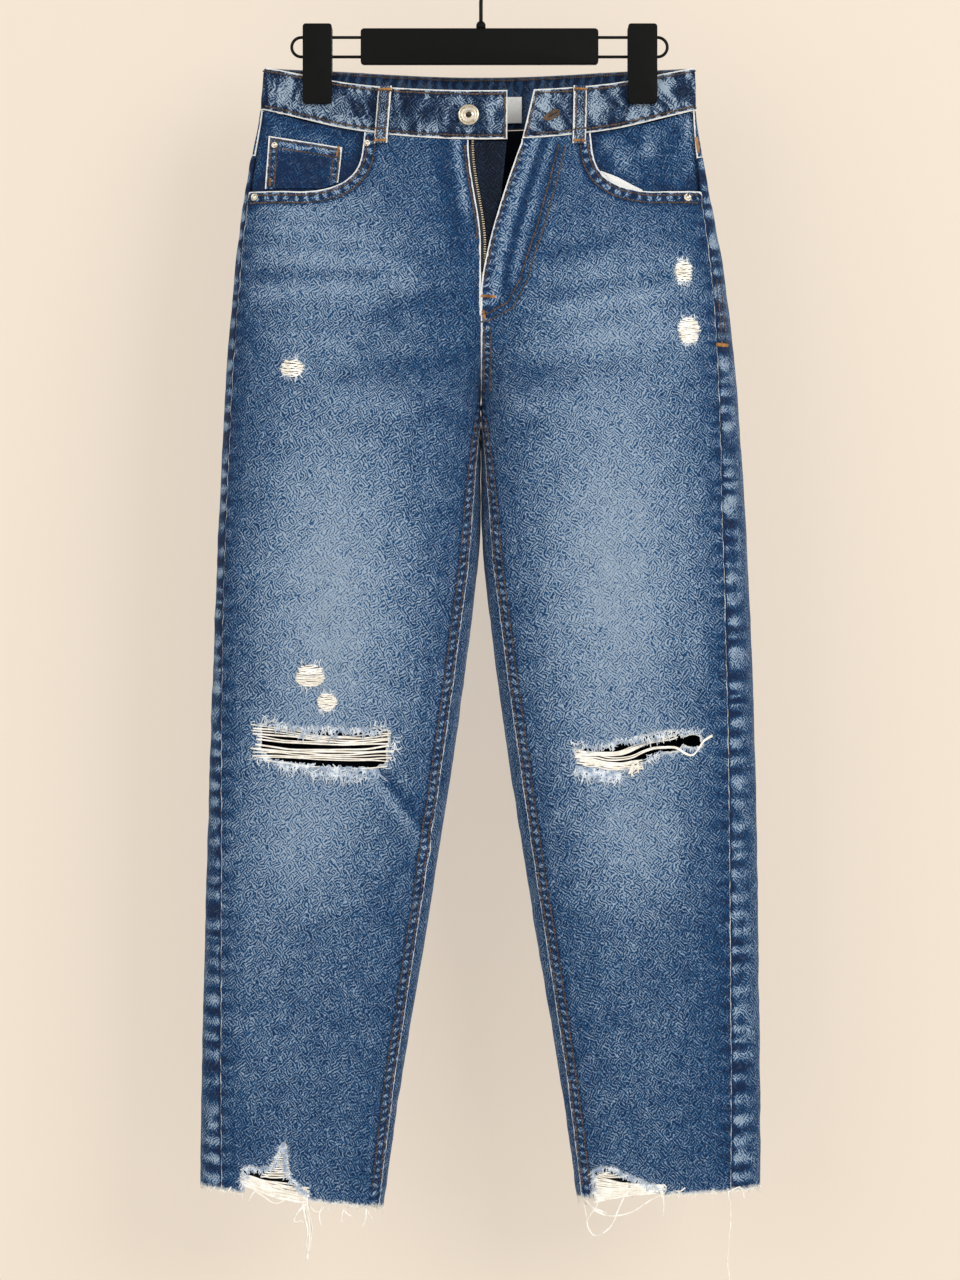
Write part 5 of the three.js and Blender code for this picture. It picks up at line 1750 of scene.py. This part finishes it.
# Rows of frayed ends round each knee: from x, depth to x, depth, how many, which way, lengths and curl.
KNEE_ENDS = {
    RIGHT: [
        (188, 553, 170, 555, 20, -1, 4, 9, 2.8), (172, 553, 84, 557, 130, 1, 3.5, 8.5, 1.4),
        (152, 557, 110, 560, 16, 1, 6, 9, 1.0), (168, 584, 86, 590.5, 150, 1, 5, 13, 1.6),
        (190, 580, 164, 584, 26, 1, 4, 8, 2.8), (72, 560, 73, 588, 22, 1, 4, 8, 3.0),
        (98, 557, 78, 556, 14, -1, 3, 6, 2.4), (146, 592, 100, 595, 60, 1, 5, 11, 2.4),
    ],
    LEFT: [
        (76, 571, 90, 573, 12, -1, 3, 6, 2.6), (86, 571, 112, 569, 30, 1, 3, 7, 1.4),
        (112, 566, 154, 560, 62, 1, 4, 9, 1.0), (150, 560, 172, 557, 22, 1, 3, 7, 2.0),
        (76, 587, 116, 593, 95, 1, 6, 15, 2.8), (82, 593, 110, 597, 44, 1, 5, 10, 3.4),
        (136, 582, 152, 575, 26, 1, 4, 8, 1.4), (168, 562, 187, 561, 22, -1, 2.5, 6, 2.2),
        (170, 574, 182, 572, 12, 1, 2.5, 5, 2.2),
    ],
}
for side in (RIGHT, LEFT):
    name = SIDE_NAME[side]
    holes = [ragged(KNEE_HOLE[side], 1.3, 41 + side)]
    if side == LEFT:
        holes.append(ragged(SMALL_HOLE, 0.8, 61))
    bundles = [
        yarn_bundle(side, points, count, spread, 110 + 3 * i, holes)
        for i, (points, count, spread) in enumerate(KNEE_BUNDLES[side])
    ]
    if side == LEFT:
        x = random.uniform(125, 133, 16)
        depth = 585 + random.uniform(0, 4, 16)
        length = random.uniform(5, 9, 16)
        bundles.append((curls(side, x, depth, length, 1, 107, 0.8, 1.6), 0.55, 5))
    yarns = threads(f"knee_yarn_{name}", bundles, cream_yarn)
    declare(yarns, [f"knee_threads_{name}"], "yarn")
    tufts = []
    for i, (x0, d0, x1, d1, count, aim, low, high, curl) in enumerate(KNEE_ENDS[side]):
        t = random.uniform(0, 1, count)
        x = lerp(x0, x1, t) + random.uniform(-1, 1, count)
        depth = lerp(d0, d1, t) + random.uniform(-1.6, 1.6, count)
        length = random.uniform(low, high, count)
        radius = random.uniform(0.34, 0.6, (count, 1)) * np.linspace(1, 0.7, 9)
        tufts.append((curls(side, x, depth, length, aim, 60 + i, 0.5, curl), radius, 5))
    for wx, wd, half_wide, half_high in WORN_SPOT[side]:
        for end, per in ((-1, 16), (1, 20)):
            x = wx + random.uniform(-0.75, 0.75, per) * half_wide
            depth = wd + end * half_high * random.uniform(0.7, 1.05, per)
            tufts.append((curls(side, x, depth, random.uniform(2, 5, per), end, 11 + per), 0.42, 4))
    fray = threads(f"knee_fray_{name}", tufts, pale_yarn)
    declare(fray, [], "yarn")
    rows = []
    for i, (wx, wd, half_wide, half_high) in enumerate(WORN_SPOT[side]):
        offset = np.arange(-half_high + 0.8, half_high - 0.5, 1.4)
        count = len(offset)
        t = np.linspace(-1, 1, 12)[None]
        half = (half_wide * np.sqrt(np.maximum(0.12, 1 - (offset / half_high) ** 2)) + 0.8)[:, None]
        half = half * random.uniform(0.82, 1.14, (count, 1))
        depth = wd + offset[:, None] + wander(count, 12, 0.55, 130 + i) + 0.6 * (1 - t**2)
        x = wx + t * half + random.uniform(-0.6, 0.6, (count, 1))
        out = 0.7 * np.sqrt(np.maximum(0, 1 - t**2)) + wander(count, 12, 0.25, 140 + i) + 0.5
        rows.append((over_front(side, x, depth, out), random.uniform(0.55, 0.8, (count, 1)), 5))
    bare = threads(f"worn_weft_{name}", rows, cream_yarn)
    declare(bare, [], "yarn")

# ---- Hem threads ----
# The legs were cut short and left raw. A thin fuzz of weft shows all round, the notches worn into the front
# of each hem are filled with bare weft, and a few threads and one tassel have pulled loose.
NOTCH_WEFT = {
    RIGHT: [((200.5, 930), (145, 941.5), 1.0), ((199.5, 940), (145.5, 954), 2.5)],
    LEFT: [((95.5, 933), (153, 939), 2.5), ((94.5, 954.5), (154, 945.5), -1.5)],
}
NOTCH_ROWS = {RIGHT: 13, LEFT: 15}
SPIKE_ROWS = {
    RIGHT: [(lerp(167, 183, (t / 13) ** 1.3), lerp(164, 161, t / 13), 908 + 1.85 * t) for t in range(14)],
    LEFT: [(lerp(97, 95, t / 2), lerp(110, 122, t / 2), 929 + 1.6 * t) for t in range(3)],
}
# Loose threads of each hem: points of x, depth and distance out, then a radius.
LOOSE = {
    RIGHT: [
        ([(147, 944, 1), (147, 955, 1), (143.2, 974, 2), (144.6, 992, 1), (145.6, 1002, 0)], 0.8),
        ([(148.6, 947, 1), (149, 957, 0.4), (146, 972, 0), (143.4, 985, 1.4), (145.2, 996, 2)], 0.9),
        ([(146, 949, 1), (144.6, 960, 2.4), (141.6, 973, 0.6), (142.4, 984, 0), (143.5, 994, 1)], 0.8),
        ([(149.5, 950, 0), (148, 962, 1.6), (144.8, 978, 2.6), (146.4, 988, 1.2), (144, 995, 1)], 0.75),
        ([(147.5, 956, 1), (154, 963, 1.6), (156.4, 970, 1), (150, 969.4, 0), (148.4, 972, 0)], 0.7),
        ([(144, 956, 0), (139, 961.4, 1), (134, 961, 1), (131, 956.6, 0)], 0.6),
        ([(133, 957, 0), (135.4, 964, 1), (134, 973, 1)], 0.6),
        ([(189, 944, 0), (192, 948, 1), (194.6, 953, 0)], 0.6),
        ([(195, 940, 0), (182, 949, 1), (172, 954.6, 1.4), (163, 951, 1), (155, 947, 0)], 0.6),
        ([(114, 959, 0), (113, 963, 1), (108, 966, 0.6)], 0.5),
        ([(115, 960, 0), (117, 967, 1), (116, 971, 0)], 0.5),
        ([(96, 960, 0), (96.6, 967, 1), (99, 975, 0)], 0.6),
        ([(95, 961, 0), (93, 966, 0), (90, 970, 0)], 0.5),
        ([(208, 939, 0), (211, 944, 1), (214, 948, 0)], 0.5),
        ([(218, 938, 0), (224, 943, 1), (229, 947, 0)], 0.6),
    ],
    LEFT: [
        ([(87.4, 957, 0), (97.6, 962.7, 1), (107.7, 965.5, 1.6), (119, 964.4, 1.6), (129, 960.5, 1.4),
          (142.6, 951.5, 1), (153.8, 945.9, 0.6), (154, 939, 1), (147, 940.2, 0)], 0.7),
        ([(120, 949, 0), (114.4, 961.6, 1), (110, 972.9, 2), (103.2, 979.6, 2), (95.3, 983, 1),
          (89.7, 977.4, 0), (88.6, 970.6, 0), (92, 965, 1), (96.4, 959.4, 1), (98.7, 952, 0)], 0.65),
        ([(152.1, 945, 0), (153, 956, 1), (152.1, 965, 0.5)], 0.6),
        ([(88, 954, 0), (93, 959, 1), (101, 962, 0.4), (106, 964, 0)], 0.8),
        ([(164, 942, 0), (166, 946.4, 1), (165, 950.6, 0.6)], 0.5),
        ([(171, 941.5, 1), (166, 944.6, 1), (160, 943, 0)], 0.5),
        ([(216.8, 941.4, 1), (219.6, 945, 1), (221.3, 951.5, 0)], 0.5),
        ([(216.8, 941.4, 1), (211, 943.6, 1.4), (206.7, 946, 1)], 0.5),
        ([(86, 956, 0), (88, 964, 1), (89, 969, 0.4)], 0.5),
    ],
}
# Below this depth a loose thread hangs free of the leg.
FREE_FROM = 950.0
# The worn stretch of each hem, where bare weft takes the place of fuzz.
WORN_HEM = {RIGHT: (147, 199), LEFT: (95, 150)}
for side in (RIGHT, LEFT):
    name = SIDE_NAME[side]
    spin = np.random.default_rng(150 + side)
    # Fuzz all round the raw edge, rooted just above it.
    angle = np.arange(0, 2 * math.pi, 0.0105) + spin.uniform(-0.006, 0.006, 599)
    x = np.abs(form_point(side, angle, np.full(angle.shape, FREE_FROM))[:, 0])
    root = hem_at(side, x, np.full(angle.shape, 945.0)) - 1.2
    long = spin.uniform(1.6, 4.2, len(angle)) + 5.5 * (spin.uniform(0, 1, len(angle)) > 0.955)
    worn_from, worn_to = WORN_HEM[side]
    kept = (np.sin(angle) <= 0) | (x <= worn_from) | (x >= worn_to)
    angle, root, long = angle[kept], root[kept], long[kept]
    t = np.linspace(0, 1, 5)[None]
    lean = spin.uniform(-1, 1, (len(angle), 1)) * 0.012
    angles = angle[:, None] + lean * t * long[:, None] / 3
    angles = angles + spin.uniform(-1, 1, (len(angle), 1)) * 0.01 * t**2
    depths = root[:, None] + t * long[:, None]
    outs = -0.7 + spin.uniform(-0.4, 1.2, (len(angle), 1)) * t
    fuzz = moved(side, angles.ravel(), depths.ravel(), outs.ravel()).reshape(*angles.shape, 3)
    fringe = threads(f"hem_fuzz_{name}", [(fuzz, lerp(0.34, 0.2, t), 4)], cream_yarn)
    declare(fringe, [f"hem_fringe_{name}"], "yarn")
    # Bare weft across the notch, from its torn top to the sagging lowest threads.
    (a0, a1, sag_top), (b0, b1, sag_low) = NOTCH_WEFT[side]
    rows = NOTCH_ROWS[side]
    u = np.linspace(0, 1, rows)[:, None] ** 0.9
    t = np.linspace(0, 1, 26)[None]
    x = lerp(lerp(a0[0], b0[0], u), lerp(a1[0], b1[0], u), t)
    x = x + spin.uniform(-1.6, 1.6, (rows, 1)) * np.sign(0.5 - t)
    depth = lerp(lerp(a0[1], b0[1], u), lerp(a1[1], b1[1], u), t)
    depth += lerp(sag_top, sag_low, u) * (1 - (2 * t - 1) ** 2) + wander(rows, 26, 0.7, 160 + side)
    out = lerp(0.6, -0.6, smooth(np.minimum(t, 1 - t) * 8)) + wander(rows, 26, 0.5, 170 + side)
    wefts = [(over_front(side, x, depth, out), spin.uniform(0.62, 0.92, (rows, 1)), 6)]
    for outer_x, inner_x, row_depth in SPIKE_ROWS[side]:
        t = np.linspace(0, 1, 7)[None]
        x = lerp(outer_x + 1.5, inner_x - 1.5, t)
        depth = row_depth + 0.7 * (1 - (2 * t - 1) ** 2) + wander(1, 7, 0.4, int(row_depth))
        wefts.append((over_front(side, x, depth, 0.2 + 0 * x), 0.7, 5))
    weft = threads(f"notch_weft_{name}", wefts, cream_yarn)
    declare(weft, [f"hem_weft_{name}"], "yarn")
    # Pale ends of warp along the notch's torn top.
    rim = densified(ragged(HEM_NOTCH[side], 1.3, 51 + side), 0.5)
    rim = rim[(rim[:, 1] < hem_at(side, rim[:, 0], rim[:, 1]) - 4)]
    roots = rim + spin.uniform(-0.8, 0.8, rim.shape) - (0, 1.6)
    ends = curls(side, roots[:, 0], roots[:, 1], spin.uniform(2.5, 6.0, len(rim)), 1, 180 + side, 0.3)
    declare(threads(f"notch_fray_{name}", [(ends, 0.4, 4)], pale_yarn), [], "yarn")
    loose = []
    for points, radius in LOOSE[side]:
        path = smooth_path(points, 20)
        depth = path[:, 1]
        over = over_front(side, path[None, :, 0], np.minimum(depth, FREE_FROM)[None], path[None, :, 2] - 1)
        over[0, :, 2] -= np.maximum(0, depth - FREE_FROM)
        loose.append((over, 1.3 * radius * np.linspace(1, 0.75, 20)[None], 6))
    stray = threads(f"loose_ends_{name}", loose, cream_yarn)
    declare(stray, ["hem_tassel_right"] if side == RIGHT else [], "yarn")

long_path = smooth_path(
    [(206.7, -24, -1052), (208.4, -24, -1062), (208.9, -24, -1081), (207, -24.4, -1097), (206.9, -24, -1115),
     (209.3, -23, -1139)], 60
)
long_path[:, 0] += 0.5 * lumps(np.arange(60), np.zeros(60), 3.0, 191)
declare(threads("long_thread", [(long_path[None], 0.45, 6)], cream_yarn), ["loose_thread_left"], "yarn")

# ---- Hanger ----
# A black trouser hanger: a moulded plate on a steel wire loop, a steel hook in a small ferrule, and two
# spring clips that grip the waistband near the side seams.
HANGER_X = -1.2
black_plastic, principled = new_material("black_plastic")
shader = Shader(black_plastic.node_tree)
place = shader.node("ShaderNodeTexCoord").outputs["Object"]
shade = shader.mix(shader.noise(place, 60, 4.0), (0.0015, 0.0017, 0.0017, 1), (0.003, 0.0033, 0.0033, 1))
shader.put(principled.inputs["Base Color"], shade)
shader.put(principled.inputs["Roughness"], shader.ramp(shader.noise(place, 240, 3.0), 0.2, 0.8, 0.5, 0.62))
principled.inputs["Specular IOR Level"].default_value = 0.1
shader.relief(principled, shader.noise(place, 1400, 2.0), 0.1, 0.12)
black_wire, principled = new_material("black_wire")
principled.inputs["Base Color"].default_value = (0.002, 0.002, 0.002, 1)
principled.inputs["Roughness"].default_value = 0.5
principled.inputs["Specular IOR Level"].default_value = 0.15


def moulded(name, centre, wide, high, thick, corner, ease, material):
    """A flat bar with rounded corners and eased edges, facing the front."""
    turns = [k * math.pi / 8 for k in range(5)]
    layers = [(-thick / 2 + ease * (1 - math.cos(a)), ease * (1 - math.sin(a))) for a in turns]
    layers += [(-y, inset) for y, inset in reversed(layers)]
    outline = []
    for quarter, (sx, sz) in enumerate(((1, 1), (-1, 1), (-1, -1), (1, -1))):
        for k in range(7):
            a = (quarter + k / 6) * math.pi / 2
            outline.append((sx, sz, math.cos(a), math.sin(a)))
    points = []
    for y, inset in layers:
        radius = corner - inset * 0.6
        for sx, sz, ca, sa in outline:
            points.append(
                (centre[0] + sx * (wide / 2 - corner - inset * 0.4) + radius * ca, centre[1] + y,
                 centre[2] + sz * (high / 2 - corner - inset * 0.4) + radius * sa)
            )
    n = len(outline)
    quads = [
        ((j + 1) * n + i, (j + 1) * n + (i + 1) % n, j * n + (i + 1) % n, j * n + i)
        for j in range(len(layers) - 1)
        for i in range(n)
    ]
    caps = [list(range(n)), [n * (len(layers) - 1) + i for i in range(n)][::-1]]
    return make_mesh(name, np.array(points), [np.array(quads), np.array(caps)], material, sharp=40)


plate = moulded("moulded_plate", (HANGER_X, 0, -90.3), 200.6, 30.6, 7, 3, 1.1, black_plastic)
declare(plate, ["hanger_plate"], "hanger_plastic")
LOOP_Z = -90.7
LOOP_RADIUS = 8.2
LOOP_HALF = 150.3
ring = [(0.3, LOOP_RADIUS)]
for end in (1, -1):
    for a in np.linspace(0, math.pi, 16):
        ring.append((end * (LOOP_HALF + LOOP_RADIUS * math.sin(a)), end * LOOP_RADIUS * math.cos(a)))
ring += [(-0.3, LOOP_RADIUS)]
path = np.array([(HANGER_X + x, 0, LOOP_Z + z) for x, z in ring])
declare(threads("wire_loop", [(path[None], 1.3, 14)], black_wire), ["hanger_wire"], "hanger_metal")
HOOK_RADIUS = 20
ARCH_Z = 1.6 - HOOK_RADIUS
stem = bezier(
    (0, ARCH_Z - 34), (0, ARCH_Z - 20), (HOOK_RADIUS, ARCH_Z - 16), (HOOK_RADIUS, ARCH_Z), 18
)
arch_turns = np.linspace(0, 1.12 * math.pi, 40)[1:]
arch = [(HOOK_RADIUS * math.cos(a), ARCH_Z + HOOK_RADIUS * math.sin(a)) for a in arch_turns]
path = np.array([(x, 0, z) for x, z in [(0, -74.7), (0, -64), *stem, *arch]])
declare(threads("wire_hook", [(path[None], 1.6, 14)], black_wire), ["hanger_hook"], "hanger_metal")
ferrule = lathe(
    "hook_ferrule", rounded([(1.75, 0), (4, 0), (4, 3.2), (2.6, 5.5), (1.75, 5.5), (1.75, 0)]), 32,
    np.array((0, 0, -74.7)), (0, 0, 1), black_plastic,
)
declare(ferrule, ["hanger_ferrule"], "hanger_plastic")
CLIP_TOP = -72.0
CLIP_BOTTOM = -139.6
for side in (RIGHT, LEFT):
    name = SIDE_NAME[side]
    x = side * 137 - 0.8
    for face, toward in (("front", -1), ("back", 1)):
        jaw = moulded(
            f"jaw_{face}_{name}", (x, toward * 8.2, (CLIP_TOP + CLIP_BOTTOM) / 2),
            24.6, CLIP_TOP - CLIP_BOTTOM, 4, 2.6, 0.9, black_plastic,
        )
        declare(jaw, [f"hanger_clip_{face}_{name}"], "hanger_plastic")
    turns = np.linspace(0, 2 * math.pi * 11, 11 * 16)
    coil = np.stack(
        [x - 10.2 + 20.4 * turns / turns[-1], 4.5 * np.cos(turns), LOOP_Z + 4.5 * np.sin(turns)], -1
    )
    spring = threads(f"coil_{name}", [(coil[None], 0.75, 8)], black_wire)
    declare(spring, [f"hanger_spring_{name}"], "hanger_metal")
